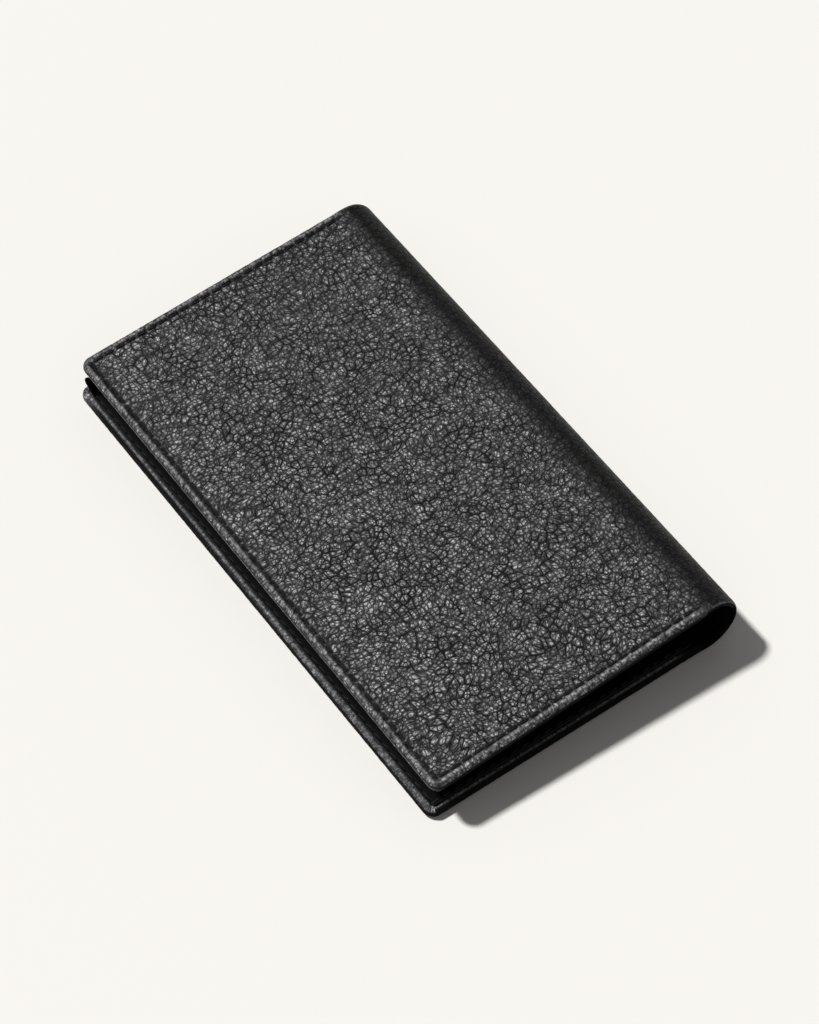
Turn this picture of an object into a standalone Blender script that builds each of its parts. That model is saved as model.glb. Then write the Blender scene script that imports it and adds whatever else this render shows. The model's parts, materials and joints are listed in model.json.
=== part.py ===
"""A slim black leather wallet that folds along one long side, closed and lying on its back cover.

It is built as it comes apart on a bench. Each cover is a leather shell with turned edges that holds a
board and a lining, with a slip pocket and three card slots sewn inside. The fold is one piece of
leather on the real wallet. Here it is five narrow strips with their lining, hinged on the outer face
of the leather, so that opening the wallet only opens the strips' inner sides.

Every cover and strip has its own frame: x runs across it from its hinge line, y along the fold, and
z from the outer face of the leather towards the inside of the wallet.
"""

import math

import bmesh
import bpy
from mathutils import Vector

MM = 0.001

# The wallet, closed.
LENGTH = 127.0 * MM
BACK_WIDTH = 70.0 * MM
FRONT_SETBACK = 1.3 * MM
FRONT_TILT = math.radians(3.1)
CORNER_RADIUS = 2.4 * MM
EDGE_ROUND = 0.9 * MM

# The fold, as flat strips round a half circle.
STRIP_COUNT = 5
STRIP_WIDTH = 4.1 * MM
HINGE_GAP = 0.3 * MM

# Leather, board and lining, and the air left between two layers.
SKIN = 0.9 * MM
BOARD = 0.5 * MM
LINING = 0.25 * MM
TURNED_EDGE = 0.6 * MM
POCKET_LEATHER = 0.55 * MM
LAYER_GAP = 0.1 * MM
SIDE_GAP = 0.3 * MM

# The edge that is turned in: its wall at the rim and its width on the inside.
RIM_WALL = 0.8 * MM
TURNED_WIDTH = 8.0 * MM

# The slip pocket's panel, from the rim of the cover and from the hinge line.
PANEL_INSET = 0.9 * MM
PANEL_CORNER = 3.0 * MM
BACK_PANEL_START = 4.5 * MM
FRONT_PANEL_START = 2.3 * MM
BOARD_START = 4.5 * MM
LINING_DROP = 1.2 * MM

# The card slots. Cards stand upright in them, with their tops showing.
CARD_WIDTH = 54.0 * MM
CARD_LENGTH = 85.6 * MM
CARD_EASE = 0.6 * MM
CARD_SHOWS = 19.0 * MM
SLOT_COUNT = 3
SLOT_STEP = 13.0 * MM
SLOT_MARGIN = 5.0 * MM
SLOT_CORNER = 1.5 * MM
SLOT_SEAM_INSET = 1.4 * MM

# The seams.
SEAM_INSET = 2.0 * MM
SEAM_START = 1.0 * MM
THREAD = 0.36 * MM
GROOVE_WIDTH = 0.8 * MM
GROOVE_DEPTH = 0.6 * MM
THREAD_SUNK = 0.1 * MM
THREAD_GAP = 0.05 * MM
STEP_RUN = 1.2 * MM

# Worked out from the sizes above.
FRONT_WIDTH = BACK_WIDTH - FRONT_SETBACK
HINGE_TURN = (math.pi + FRONT_TILT) / (STRIP_COUNT + 1)
MITRE = math.tan(HINGE_TURN / 2)
HINGE_EASE = HINGE_GAP / 2
BOARD_Z = SKIN + LAYER_GAP
COVER_LINING_Z = BOARD_Z + BOARD + LAYER_GAP
COVER_FLAP_Z = COVER_LINING_Z + LINING + LAYER_GAP
COVER_THICKNESS = COVER_FLAP_Z + TURNED_EDGE
FOLD_LINING_Z = SKIN + LAYER_GAP
FOLD_FLAP_Z = FOLD_LINING_Z + LINING + LAYER_GAP
FOLD_THICKNESS = FOLD_FLAP_Z + TURNED_EDGE
PANEL_Z = COVER_THICKNESS + LAYER_GAP
SLOT_WIDTH = CARD_WIDTH + 2 * (SLOT_SEAM_INSET + CARD_EASE)
SLOT_DEPTH = CARD_LENGTH - CARD_SHOWS
CUT_PAST = 1.0 * MM


def clear_scene():
    for old in list(bpy.data.objects):
        bpy.data.objects.remove(old)


def new_collection(name):
    collection = bpy.data.collections.new(name)
    bpy.context.scene.collection.children.link(collection)
    return collection


def new_material(name, colour, roughness):
    material = bpy.data.materials.new(name)
    material.use_nodes = True
    shader = material.node_tree.nodes["Principled BSDF"]
    shader.inputs["Base Color"].default_value = (*colour, 1.0)
    shader.inputs["Roughness"].default_value = roughness
    shader.inputs["Metallic"].default_value = 0.0
    return material


clear_scene()
WALLET = new_collection("leather_wallet")
CUTTERS = new_collection("cutters")
SHELL_LEATHER = new_material("grained_leather", (0.024, 0.024, 0.025), 0.5)
INNER_LEATHER = new_material("smooth_leather", (0.012, 0.012, 0.013), 0.45)
BOARD_PAPER = new_material("board", (0.16, 0.13, 0.10), 0.9)
LINING_CLOTH = new_material("lining_cloth", (0.014, 0.014, 0.016), 0.85)
THREAD_BLACK = new_material("thread", (0.010, 0.010, 0.011), 0.6)


def new_node(name, mesh, material, frame):
    """A sub-part of the wallet, in the frame of the cover or strip that carries it."""
    node = bpy.data.objects.new(name, mesh)
    mesh.materials.append(material)
    node.parent = frame
    WALLET.objects.link(node)
    return node


def new_cutter(name, mesh, frame):
    cutter = bpy.data.objects.new(name, mesh)
    cutter.parent = frame
    cutter.hide_render = True
    cutter.display_type = "WIRE"
    CUTTERS.objects.link(cutter)
    return cutter


def cut(node, cutter):
    modifier = node.modifiers.new(cutter.name, "BOOLEAN")
    modifier.operation = "DIFFERENCE"
    modifier.object = cutter


def new_box(low, high):
    """A bmesh box between two corners."""
    bm = bmesh.new()
    bmesh.ops.create_cube(bm, size=1.0)
    low, high = Vector(low), Vector(high)
    for vert in bm.verts:
        for axis in range(3):
            vert.co[axis] = high[axis] if vert.co[axis] > 0 else low[axis]
    return bm


def round_upright_corners(bm, radius, x_side, segments=6):
    """Rounds the box's upright edges on one side, or on both sides where x_side is None."""
    upright = [
        edge
        for edge in bm.edges
        if abs(edge.verts[0].co.z - edge.verts[1].co.z) > radius / 100
        and (x_side is None or abs(edge.verts[0].co.x - x_side) < radius / 100)
    ]
    bmesh.ops.bevel(bm, geom=upright, offset=radius, segments=segments, profile=0.5, affect="EDGES")


def roll_edges(bm, radius, hinge_sides, segments=3):
    """Rounds the outer and inner edges of the rim, but not the edges at a hinge."""
    near = radius / 100
    rim = []
    for edge in bm.edges:
        a, b = (vert.co for vert in edge.verts)
        level = abs(a.z - b.z) < near
        at_hinge = any(abs(a.x - side) < near and abs(b.x - side) < near for side in hinge_sides)
        if level and not at_hinge:
            rim.append(edge)
    bmesh.ops.bevel(bm, geom=rim, offset=radius, segments=segments, profile=0.5, affect="EDGES")


def mitre_inset(z):
    """How far from a hinge line a piece stops at height z, to clear its neighbour across the hinge."""
    return HINGE_EASE + z * MITRE


def mitre(bm, hinge_sides):
    """Slants the ends at the hinge lines, so that two pieces meet at half of the hinge's angle each."""
    start = hinge_sides[0]
    for vert in bm.verts:
        for side in hinge_sides:
            if abs(vert.co.x - side) < HINGE_EASE / 100:
                vert.co.x += mitre_inset(vert.co.z) * (1 if side == start else -1)


def to_mesh(bm, name):
    bmesh.ops.recalc_face_normals(bm, faces=bm.faces)
    mesh = bpy.data.meshes.new(name)
    bm.to_mesh(mesh)
    bm.free()
    return mesh


def new_plate(name, low, high, radius, material, frame, x_side=None):
    """A flat sheet of leather or board with rounded corners."""
    bm = new_box(low, high)
    round_upright_corners(bm, radius, x_side)
    return new_node(name, to_mesh(bm, name), material, frame)


def run_of_thread(name, points, radius, resolution):
    """A curve with a round section along straight runs between the points."""
    curve = bpy.data.curves.new(name, "CURVE")
    curve.dimensions = "3D"
    curve.bevel_depth = radius
    curve.bevel_resolution = resolution
    curve.use_fill_caps = True
    spline = curve.splines.new("POLY")
    spline.points.add(len(points) - 1)
    for point, place in zip(spline.points, points):
        point.co = (*place, 1.0)
    return curve


def new_thread(name, points, frame):
    curve = run_of_thread(name, points, THREAD / 2, resolution=1)
    return new_node(name, curve, THREAD_BLACK, frame)


def tube_cutter(name, points, radius, frame):
    """A closed tube along the points, as a mesh that can cut."""
    guide = bpy.data.objects.new(name, run_of_thread(name, points, radius, resolution=2))
    CUTTERS.objects.link(guide)
    bpy.context.view_layer.update()
    mesh = bpy.data.meshes.new_from_object(guide.evaluated_get(bpy.context.evaluated_depsgraph_get()))
    bpy.data.objects.remove(guide)
    bm = bmesh.new()
    bm.from_mesh(mesh)
    bmesh.ops.remove_doubles(bm, verts=bm.verts, dist=radius / 1000)
    bmesh.ops.recalc_face_normals(bm, faces=bm.faces)
    bm.to_mesh(mesh)
    bm.free()
    return new_cutter(name, mesh, frame)


def corner_arc(centre, radius, start, end, z, steps=4):
    """Points on a quarter turn, both ends included."""
    angles = [start + (end - start) * i / steps for i in range(steps + 1)]
    return [(centre[0] + radius * math.cos(a), centre[1] + radius * math.sin(a), z) for a in angles]


def edge_seam_path(width, z):
    """Round the three free edges of a cover, SEAM_INSET in from them."""
    far_x = width - SEAM_INSET
    far_y = LENGTH / 2 - SEAM_INSET
    radius = max(CORNER_RADIUS - SEAM_INSET, GROOVE_WIDTH)
    first = corner_arc((far_x - radius, -far_y + radius), radius, -math.pi / 2, 0, z)
    second = corner_arc((far_x - radius, far_y - radius), radius, 0, math.pi / 2, z)
    return [(SEAM_START, -far_y, z), *first, *second, (SEAM_START, far_y, z)]


def new_cover_leather(prefix, width, frame):
    """The outer leather with its edge turned in round three sides, open along the fold."""
    name = prefix + "_cover_leather"
    half = LENGTH / 2
    bm = new_box((0, -half, 0), (width, half, COVER_THICKNESS))
    round_upright_corners(bm, CORNER_RADIUS, width)
    roll_edges(bm, EDGE_ROUND, hinge_sides=[0])
    mitre(bm, hinge_sides=[0])
    leather = new_node(name, to_mesh(bm, name), SHELL_LEATHER, frame)

    # The room for the board and the lining, between the skin and the turned edge.
    bm = new_box((-CUT_PAST, -half + RIM_WALL, SKIN), (width - RIM_WALL, half - RIM_WALL, COVER_FLAP_Z))
    round_upright_corners(bm, CORNER_RADIUS - RIM_WALL, width - RIM_WALL)
    cut(leather, new_cutter(prefix + "_board_room", to_mesh(bm, "board_room"), frame))

    # The opening inside the turned edge.
    bm = new_box(
        (-CUT_PAST, -half + TURNED_WIDTH, COVER_FLAP_Z - LAYER_GAP),
        (width - TURNED_WIDTH, half - TURNED_WIDTH, COVER_THICKNESS + CUT_PAST),
    )
    cut(leather, new_cutter(prefix + "_turned_edge_opening", to_mesh(bm, "opening"), frame))

    # The groove that the stitches lie in.
    radius = GROOVE_WIDTH / 2
    path = edge_seam_path(width, GROOVE_DEPTH - radius)
    cut(leather, tube_cutter(prefix + "_seam_groove", path, radius, frame))


def new_cover_lining(prefix, width, frame):
    """The lining cloth: over the board, then down to the leather of the fold."""
    name = prefix + "_cover_lining"
    half = LENGTH / 2 - RIM_WALL - SIDE_GAP
    low_z = FOLD_LINING_Z + LINING / 2
    high_z = COVER_LINING_Z + LINING / 2
    drop_end = BOARD_START - SIDE_GAP
    profile = [
        (mitre_inset(FOLD_LINING_Z + LINING), low_z),
        (drop_end - LINING_DROP, low_z),
        (drop_end, high_z),
        (width - RIM_WALL - SIDE_GAP, high_z),
    ]
    bm = bmesh.new()
    rows = [[bm.verts.new((x, y, z)) for x, z in profile] for y in (-half, half)]
    for i in range(len(profile) - 1):
        bm.faces.new((rows[0][i], rows[0][i + 1], rows[1][i + 1], rows[1][i]))
    corners = [row[-1] for row in rows]
    radius = CORNER_RADIUS - RIM_WALL
    bmesh.ops.bevel(bm, geom=corners, offset=radius, segments=6, profile=0.5, affect="VERTICES")
    lining = new_node(name, to_mesh(bm, name), LINING_CLOTH, frame)
    solidify = lining.modifiers.new("thickness", "SOLIDIFY")
    solidify.thickness = LINING
    solidify.offset = 0
    solidify.use_even_offset = True


def slot_stop(index):
    """Where along y, from the closed end, the bottoms of the cards in this slot stand."""
    closed_end = SLOT_MARGIN + SLOT_SEAM_INSET
    return closed_end + (SLOT_COUNT - 1 - index) * SLOT_STEP


def new_pockets(prefix, width, panel_start, mouth, frame):
    """The slip pocket and, on it, the card slots. mouth is the side along y that the slots open to."""
    half = LENGTH / 2
    panel_top = PANEL_Z + POCKET_LEATHER
    new_plate(
        prefix + "_slip_pocket",
        (panel_start, -half + PANEL_INSET, PANEL_Z),
        (width - PANEL_INSET, half - PANEL_INSET, panel_top),
        PANEL_CORNER,
        INNER_LEATHER,
        frame,
    )

    low_x = width - SLOT_MARGIN - SLOT_WIDTH
    high_x = width - SLOT_MARGIN
    closed_y = -half + SLOT_MARGIN
    tops = []
    mouths = []
    for index in range(SLOT_COUNT):
        low_z = panel_top + LAYER_GAP + index * (POCKET_LEATHER + LAYER_GAP)
        tops.append(low_z + POCKET_LEATHER)
        mouths.append(-half + slot_stop(index) + SLOT_DEPTH)
        ends = sorted((closed_y * mouth, mouths[index] * mouth))
        name = f"{prefix}_card_slot_{index + 1}"
        slot = new_plate(
            name, (low_x, ends[0], low_z), (high_x, ends[1], tops[index]), SLOT_CORNER, INNER_LEATHER, frame
        )
        if index < SLOT_COUNT - 1:
            sew_stop_seam(prefix, index, slot, low_x, high_x, tops[index], mouth, frame)

    sew_slot_seam(prefix, low_x, high_x, closed_y, tops, mouths, mouth, frame)


def sew_stop_seam(prefix, index, slot, low_x, high_x, top, mouth, frame):
    """The seam across a slot that its cards stand on, sunk in the leather under the next slot."""
    y = (slot_stop(index) - LENGTH / 2) * mouth
    sunk = THREAD + 2 * THREAD_GAP
    bm = new_box(
        (low_x + SLOT_SEAM_INSET, y - sunk / 2 - THREAD_GAP, top - sunk),
        (high_x - SLOT_SEAM_INSET, y + sunk / 2 + THREAD_GAP, top + CUT_PAST),
    )
    cut(slot, new_cutter(f"{prefix}_stop_groove_{index + 1}", to_mesh(bm, "stop_groove"), frame))
    z = top - sunk / 2
    ends = (low_x + SLOT_SEAM_INSET + SIDE_GAP, high_x - SLOT_SEAM_INSET - SIDE_GAP)
    new_thread(f"{prefix}_stop_seam_{index + 1}", [(x, y, z) for x in ends], frame)


def sew_slot_seam(prefix, low_x, high_x, closed_y, tops, mouths, mouth, frame):
    """Down one side of the card slots, across their closed end and up the other, over each mouth's step."""
    lift = THREAD_GAP + THREAD / 2
    inset = SLOT_SEAM_INSET
    clear = THREAD
    side = [(mouths[0] - inset, tops[0] + lift)]
    for index in range(1, SLOT_COUNT):
        side.append((mouths[index] + STEP_RUN, tops[index - 1] + lift))
        side.append((mouths[index] + clear, tops[index] + lift))
    side.append((closed_y + inset, tops[-1] + lift))
    left = [(low_x + inset, y * mouth, z) for y, z in side]
    right = [(high_x - inset, y * mouth, z) for y, z in reversed(side)]
    new_thread(prefix + "_card_slot_seam", left + right, frame)


def new_cover(prefix, width, panel_start, mouth, frame):
    """A whole cover with everything that is sewn into it."""
    new_cover_leather(prefix, width, frame)
    half = LENGTH / 2 - RIM_WALL - SIDE_GAP
    new_plate(
        prefix + "_cover_board",
        (BOARD_START, -half, BOARD_Z),
        (width - RIM_WALL - SIDE_GAP, half, BOARD_Z + BOARD),
        CORNER_RADIUS - RIM_WALL,
        BOARD_PAPER,
        frame,
        x_side=width - RIM_WALL - SIDE_GAP,
    )
    new_cover_lining(prefix, width, frame)
    new_pockets(prefix, width, panel_start, mouth, frame)

    # The edge seam is two threads: the needle's on the outside, and the bobbin's on the slip pocket.
    outer_z = THREAD_SUNK + THREAD / 2
    new_thread(prefix + "_edge_seam_outside", edge_seam_path(width, outer_z), frame)
    inner_z = PANEL_Z + POCKET_LEATHER + THREAD_GAP + THREAD / 2
    inside = [point for point in edge_seam_path(width, inner_z) if point[0] > SEAM_START]
    start = panel_start + SEAM_INSET
    first = (start, inside[0][1], inner_z)
    last = (start, inside[-1][1], inner_z)
    new_thread(prefix + "_edge_seam_inside", [first, *inside, last], frame)


def new_fold_strip(index, frame):
    """One strip of the fold: leather with its short ends turned in, and the lining under the turned ends."""
    name = f"fold_leather_{index}"
    half = LENGTH / 2
    hinges = [0, STRIP_WIDTH]
    bm = new_box((0, -half, 0), (STRIP_WIDTH, half, FOLD_THICKNESS))
    roll_edges(bm, EDGE_ROUND, hinge_sides=hinges)
    mitre(bm, hinge_sides=hinges)
    leather = new_node(name, to_mesh(bm, name), SHELL_LEATHER, frame)
    ends = (-CUT_PAST, STRIP_WIDTH + CUT_PAST)
    bm = new_box((ends[0], -half + RIM_WALL, SKIN), (ends[1], half - RIM_WALL, FOLD_FLAP_Z))
    cut(leather, new_cutter(f"fold_lining_room_{index}", to_mesh(bm, "lining_room"), frame))
    bm = new_box(
        (ends[0], -half + TURNED_WIDTH, FOLD_FLAP_Z - LAYER_GAP),
        (ends[1], half - TURNED_WIDTH, FOLD_THICKNESS + CUT_PAST),
    )
    cut(leather, new_cutter(f"fold_opening_{index}", to_mesh(bm, "fold_opening"), frame))

    name = f"fold_lining_{index}"
    side = mitre_inset(FOLD_LINING_Z + LINING)
    reach = half - RIM_WALL - SIDE_GAP
    bm = new_box((side, -reach, FOLD_LINING_Z), (STRIP_WIDTH - side, reach, FOLD_LINING_Z + LINING))
    new_node(name, to_mesh(bm, name), LINING_CLOTH, frame)


def fold_reach():
    """How far the fold's outer face stands past the back cover's hinge line."""
    x = 0.0
    farthest = 0.0
    for index in range(1, STRIP_COUNT + 1):
        x += STRIP_WIDTH * math.cos(index * HINGE_TURN)
        farthest = max(farthest, x)
    return farthest


def new_frame(name, parent, location, turn_y=0.0, turn_z=0.0):
    frame = bpy.data.objects.new(name, None)
    frame.empty_display_size = STRIP_WIDTH
    frame.parent = parent
    frame.location = location
    frame.rotation_euler = (0.0, turn_y, turn_z)
    WALLET.objects.link(frame)
    return frame


def build_wallet():
    hinge_x = (BACK_WIDTH - fold_reach()) / 2
    base = new_frame("back_hinge_line", None, (hinge_x, 0, 0))
    back = new_frame("back_cover_frame", base, (0, 0, 0), turn_z=math.pi)
    new_cover("back", BACK_WIDTH, BACK_PANEL_START, -1, back)

    # Each hinge turns what follows it by the same angle, and the last one carries the front cover.
    frame = new_frame("fold_hinge_1", base, (0, 0, 0), turn_y=-HINGE_TURN)
    for index in range(1, STRIP_COUNT + 1):
        new_fold_strip(index, frame)
        name = f"fold_hinge_{index + 1}"
        frame = new_frame(name, frame, (STRIP_WIDTH, 0, 0), turn_y=-HINGE_TURN)
    new_cover("front", FRONT_WIDTH, FRONT_PANEL_START, 1, frame)


build_wallet()
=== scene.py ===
# %% [markdown]
# # A slim folding leather wallet
#
# The wallet lies closed on its back cover, with its fold at the right. The packed model brings its
# solids: two covers with boards, linings and pockets, and five strips for the fold. Here the leather,
# the cloth and the thread are made again with the shape that they really have, and the boards keep
# their solids. Sizes are in millimetres until a mesh is made, because leather is cut in millimetres.

# %% Load the packed model
import json
import math

import bmesh
import bpy
import numpy as np
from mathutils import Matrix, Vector

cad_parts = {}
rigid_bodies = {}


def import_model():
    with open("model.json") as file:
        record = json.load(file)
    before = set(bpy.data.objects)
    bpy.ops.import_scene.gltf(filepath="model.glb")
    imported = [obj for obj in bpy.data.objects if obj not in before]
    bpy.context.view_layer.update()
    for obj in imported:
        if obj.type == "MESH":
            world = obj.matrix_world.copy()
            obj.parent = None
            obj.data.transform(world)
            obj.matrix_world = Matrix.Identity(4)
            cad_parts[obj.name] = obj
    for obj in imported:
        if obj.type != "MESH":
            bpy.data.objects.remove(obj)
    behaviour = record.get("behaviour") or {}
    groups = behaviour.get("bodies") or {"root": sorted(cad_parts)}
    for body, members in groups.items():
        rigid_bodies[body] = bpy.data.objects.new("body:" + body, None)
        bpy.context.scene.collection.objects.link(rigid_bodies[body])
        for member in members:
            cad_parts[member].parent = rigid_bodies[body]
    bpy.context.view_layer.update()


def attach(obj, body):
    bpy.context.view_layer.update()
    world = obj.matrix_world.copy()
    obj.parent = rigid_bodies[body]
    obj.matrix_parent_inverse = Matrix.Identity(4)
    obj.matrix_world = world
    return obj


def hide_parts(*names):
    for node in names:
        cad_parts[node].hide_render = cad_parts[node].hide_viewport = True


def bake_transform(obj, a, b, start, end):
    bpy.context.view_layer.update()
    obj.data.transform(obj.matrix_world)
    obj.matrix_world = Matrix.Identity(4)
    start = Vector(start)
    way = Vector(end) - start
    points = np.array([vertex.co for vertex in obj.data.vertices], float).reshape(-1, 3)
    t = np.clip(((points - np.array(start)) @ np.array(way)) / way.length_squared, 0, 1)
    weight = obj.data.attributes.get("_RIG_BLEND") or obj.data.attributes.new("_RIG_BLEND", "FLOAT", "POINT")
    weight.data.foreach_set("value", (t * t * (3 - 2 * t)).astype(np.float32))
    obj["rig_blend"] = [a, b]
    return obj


for old in list(bpy.data.objects):
    bpy.data.objects.remove(old)
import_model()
MM = 0.001

# %% [markdown]
# ## Sizes
#
# These are the sizes that the solids were built from. The fold is the part that needs care: on the
# bench it is one flat sheet of leather, and here it turns round by half a circle and a little more,
# in six equal turns. A circle that touches the middle of every strip is the leather's smooth outer
# line.

# %% The sizes of the leather
HALF_LENGTH = 63.5
BACK_WIDTH, FRONT_WIDTH = 70.0, 68.7
COVER_THICKNESS, FOLD_EDGE, FOLD_MIDDLE = 2.55, 1.95, 1.3
STRIPS, STRIP = 5, 4.1
FRONT_TILT = math.radians(3.1)
TURN = (math.pi + FRONT_TILT) / (STRIPS + 1)
FOLD_RADIUS = STRIP / 2 / math.tan(TURN / 2)
COVER_START = STRIP / 2

strip_turns = TURN * np.arange(1, STRIPS + 1)
strip_steps = STRIP * np.stack([np.cos(strip_turns), 0 * strip_turns, np.sin(strip_turns)], -1)
strip_ends = np.cumsum(strip_steps, axis=0)
HINGE_X = (BACK_WIDTH - strip_ends[:, 0].max()) / 2
FOLD_CENTRE = np.array([HINGE_X - COVER_START, 0, FOLD_RADIUS])
print(f"first hinge line at x {HINGE_X:.3f}, fold radius {FOLD_RADIUS:.3f}")

# %% [markdown]
# ## Where a cover lies
#
# Both covers are drawn flat, with x across from the hinge line, y along the fold and z from the outer
# face inwards. `place` carries such points to the closed wallet: the back cover is turned half round
# on the table, and the front one has gone round the fold and faces down.

# %% Carry points from a flat cover to the closed wallet
c, s = math.cos(6 * TURN), math.sin(6 * TURN)
COVERS = {
    "back": (np.array([HINGE_X, 0, 0]), np.array([[-1, 0, 0], [0, -1, 0], [0, 0, 1]])),
    "front": (np.array([HINGE_X, 0, 0]) + strip_ends[-1], np.array([[c, 0, s], [0, 1, 0], [-s, 0, c]])),
}
WIDTHS = {"back": BACK_WIDTH, "front": FRONT_WIDTH}


def place(side, x, y, z):
    """Flat cover coordinates to the wallet's own: origin + x, y and z along the cover's three axes."""
    origin, axes = COVERS[side]
    return origin + np.stack(np.broadcast_arrays(x, y, z), -1) @ axes


def unrolled(side, x, y):
    """The same place on the flat sheet of leather: distance across from the first hinge line, and along."""
    if side == "back":
        return -x, -y
    return STRIPS * STRIP + x, y


print("front cover's open edge:", place("front", FRONT_WIDTH, 0, 0).round(2))

# %% [markdown]
# ## The grain
#
# Pebbled leather is skin that was tumbled until it drew up into small cushions with creases between
# them. A picture on a plane could show it, or a bump texture alone, but neither has an outline, so the
# pebbles are real relief here. Blender's Voronoi texture draws such cells. A small node tree asks it for
# its values at our points, and the material asks it again at the same flat places, so that its dark
# lines, painted shade, fall into the creases of the relief. A slow drift of the places bends the lines.

# %% Slow random drift
NET = 128


def soft_noise(x, y, size, seed):
    """Random heights on a square net, eased between by 3t^2 - 2t^3, from 0 to 1."""
    heights = np.random.default_rng(seed).random((NET, NET))
    u, v = x / size, y / size
    iu, iv = np.floor(u).astype(int), np.floor(v).astype(int)
    fu, fv = u - iu, v - iv
    fu, fv = fu * fu * (3 - 2 * fu), fv * fv * (3 - 2 * fv)
    corner = [[heights[(iu + i) % NET, (iv + j) % NET] for j in (0, 1)] for i in (0, 1)]
    low = corner[0][0] * (1 - fu) + corner[1][0] * fu
    high = corner[0][1] * (1 - fu) + corner[1][1] * fu
    return low * (1 - fv) + high * fv


print("the drift repeats after", NET, "squares of its net")

# %% Ask the cell texture
UNEVEN = 0.85
ASKED = {
    "edge": ("DISTANCE_TO_EDGE", "Distance", "FLOAT"),
    "point": ("F1", "Position", "FLOAT_VECTOR"),
    "chance": ("F1", "Color", "FLOAT_VECTOR"),
}


def new_question():
    """A node tree that stores the flat Voronoi texture's values on points, asked at their positions."""
    tree = bpy.data.node_groups.new("cell_question", "GeometryNodeTree")
    for way in ("INPUT", "OUTPUT"):
        tree.interface.new_socket("Points", in_out=way, socket_type="NodeSocketGeometry")
    last = tree.nodes.new("NodeGroupInput").outputs[0]
    position = tree.nodes.new("GeometryNodeInputPosition")
    for name, (feature, output, kind) in ASKED.items():
        texture = tree.nodes.new("ShaderNodeTexVoronoi")
        texture.voronoi_dimensions, texture.feature = "2D", feature
        texture.inputs["Scale"].default_value = 1
        texture.inputs["Randomness"].default_value = UNEVEN
        store = tree.nodes.new("GeometryNodeStoreNamedAttribute")
        store.data_type = kind
        store.inputs["Name"].default_value = name
        tree.links.new(position.outputs[0], texture.inputs["Vector"])
        tree.links.new(last, store.inputs["Geometry"])
        tree.links.new(texture.outputs[output], store.inputs["Value"])
        last = store.outputs[0]
    tree.links.new(last, tree.nodes.new("NodeGroupOutput").inputs[0])
    return tree


QUESTION = new_question()


def values(items, what, each=1, kind=float):
    """What all items of a mesh say, as one array, with a row for each item where it says more than one."""
    found = np.zeros(len(items) * each, kind)
    items.foreach_get(what, found)
    return found.reshape(-1, each) if each > 1 else found


def into_scene(name, data):
    """A new object that shows a mesh, a lamp or a camera."""
    shown = bpy.data.objects.new(name, data)
    bpy.context.scene.collection.objects.link(shown)
    return shown


def cell_texture(x, y, size):
    """For places in mm and cells of this size: the distance to the nearest crease, and how far the cell
    leans up or down there. It leans by its offset from its point times two of its random numbers."""
    flat = np.stack([x.ravel() / size, y.ravel() / size, np.zeros(x.size)], -1)
    mesh = bpy.data.meshes.new("places")
    mesh.vertices.add(x.size)
    mesh.vertices.foreach_set("co", flat.astype(np.float32).ravel())
    places = into_scene("places", mesh)
    places.modifiers.new("question", "NODES").node_group = QUESTION
    answer = places.evaluated_get(bpy.context.evaluated_depsgraph_get()).data.attributes
    edge = values(answer["edge"].data, "value")
    point, chance = (values(answer[name].data, "vector", 3)[:, :2] for name in ("point", "chance"))
    bpy.data.objects.remove(places)
    bpy.data.meshes.remove(mesh)
    lean = ((flat[:, :2] - point) * (2 * chance - 1)).sum(-1)
    return edge.reshape(x.shape) * size, lean.reshape(x.shape) * size


TRIAL = np.meshgrid(np.arange(0, 30, 0.3), np.arange(0, 30, 0.3))
print(f"cells of 2 mm: places up to {cell_texture(*TRIAL, 2.0)[0].max():.2f} mm from a crease")

# %% Where the grain lies on the sheet
PEBBLE, WRINKLE, CHAIN = 1.75, 0.85, 6.5
LONG_PEBBLES, DRAWN_TOGETHER = 22.0, 0.13
WIDE_DRIFT, WIDE_NET, FINE_DRIFT, FINE_NET = 1.7, 6.5, 0.7, 1.9


def to_open_edges(x):
    """How far a place on the flat sheet is from the back cover's open edge and from the front cover's."""
    return x + BACK_WIDTH, STRIPS * STRIP + FRONT_WIDTH - x


def drift(x, y, seed):
    """The sum of a wide drift and a fine one, each half its size either way."""
    wide = WIDE_DRIFT * (soft_noise(x, y, WIDE_NET, seed) - 0.5)
    return wide + FINE_DRIFT * (soft_noise(x, y, FINE_NET, seed + 1) - 0.5)


def grain_place(x, y):
    """Where a place of the flat sheet lies in the grain's own picture, in mm. Drifts bend it, and near both
    open edges it is drawn together across the wallet, by 0.13 d q^2 with q from 0 to 1, so that the
    pebbles there are longer."""
    at_back, at_front = (np.clip(1 - away / LONG_PEBBLES, 0, 1) for away in to_open_edges(x))
    together = DRAWN_TOGETHER * LONG_PEBBLES * (at_back**2 - at_front**2)
    return x + drift(x, y, 1) + together, y + drift(x, y, 3)


def bell(value, width):
    """exp(-(value / width)^2): 1 in the middle, and next to nothing two widths away."""
    return np.exp(-((value / width) ** 2))


def ease(t):
    """3t^2 - 2t^3 between 0 and 1."""
    t = np.clip(t, 0, 1)
    return t * t * (3 - 2 * t)


print("the middle of the fold lies at", [round(float(v), 2) for v in grain_place(STRIPS * STRIP / 2, 0.0)])

# %% The height of the grain
PEBBLE_DEPTH, PEBBLE_ROUND, PEBBLE_LEAN = 0.17, 0.28, 0.06
WRINKLE_DEPTH, WRINKLE_ROUND, WRINKLE_LEAN = 0.08, 0.13, 0.11
CREASE_DEPTH, CREASE_WIDTH, CHAIN_WIDTH = 0.05, 0.2, 0.6
LEAST_DRAWN, DRAWN_NET, RUBBED, RUBBED_EDGE = 0.2, 2.4, 0.35, 18.0
SWELL, SWELL_NET = 0.06, 9.0


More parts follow.
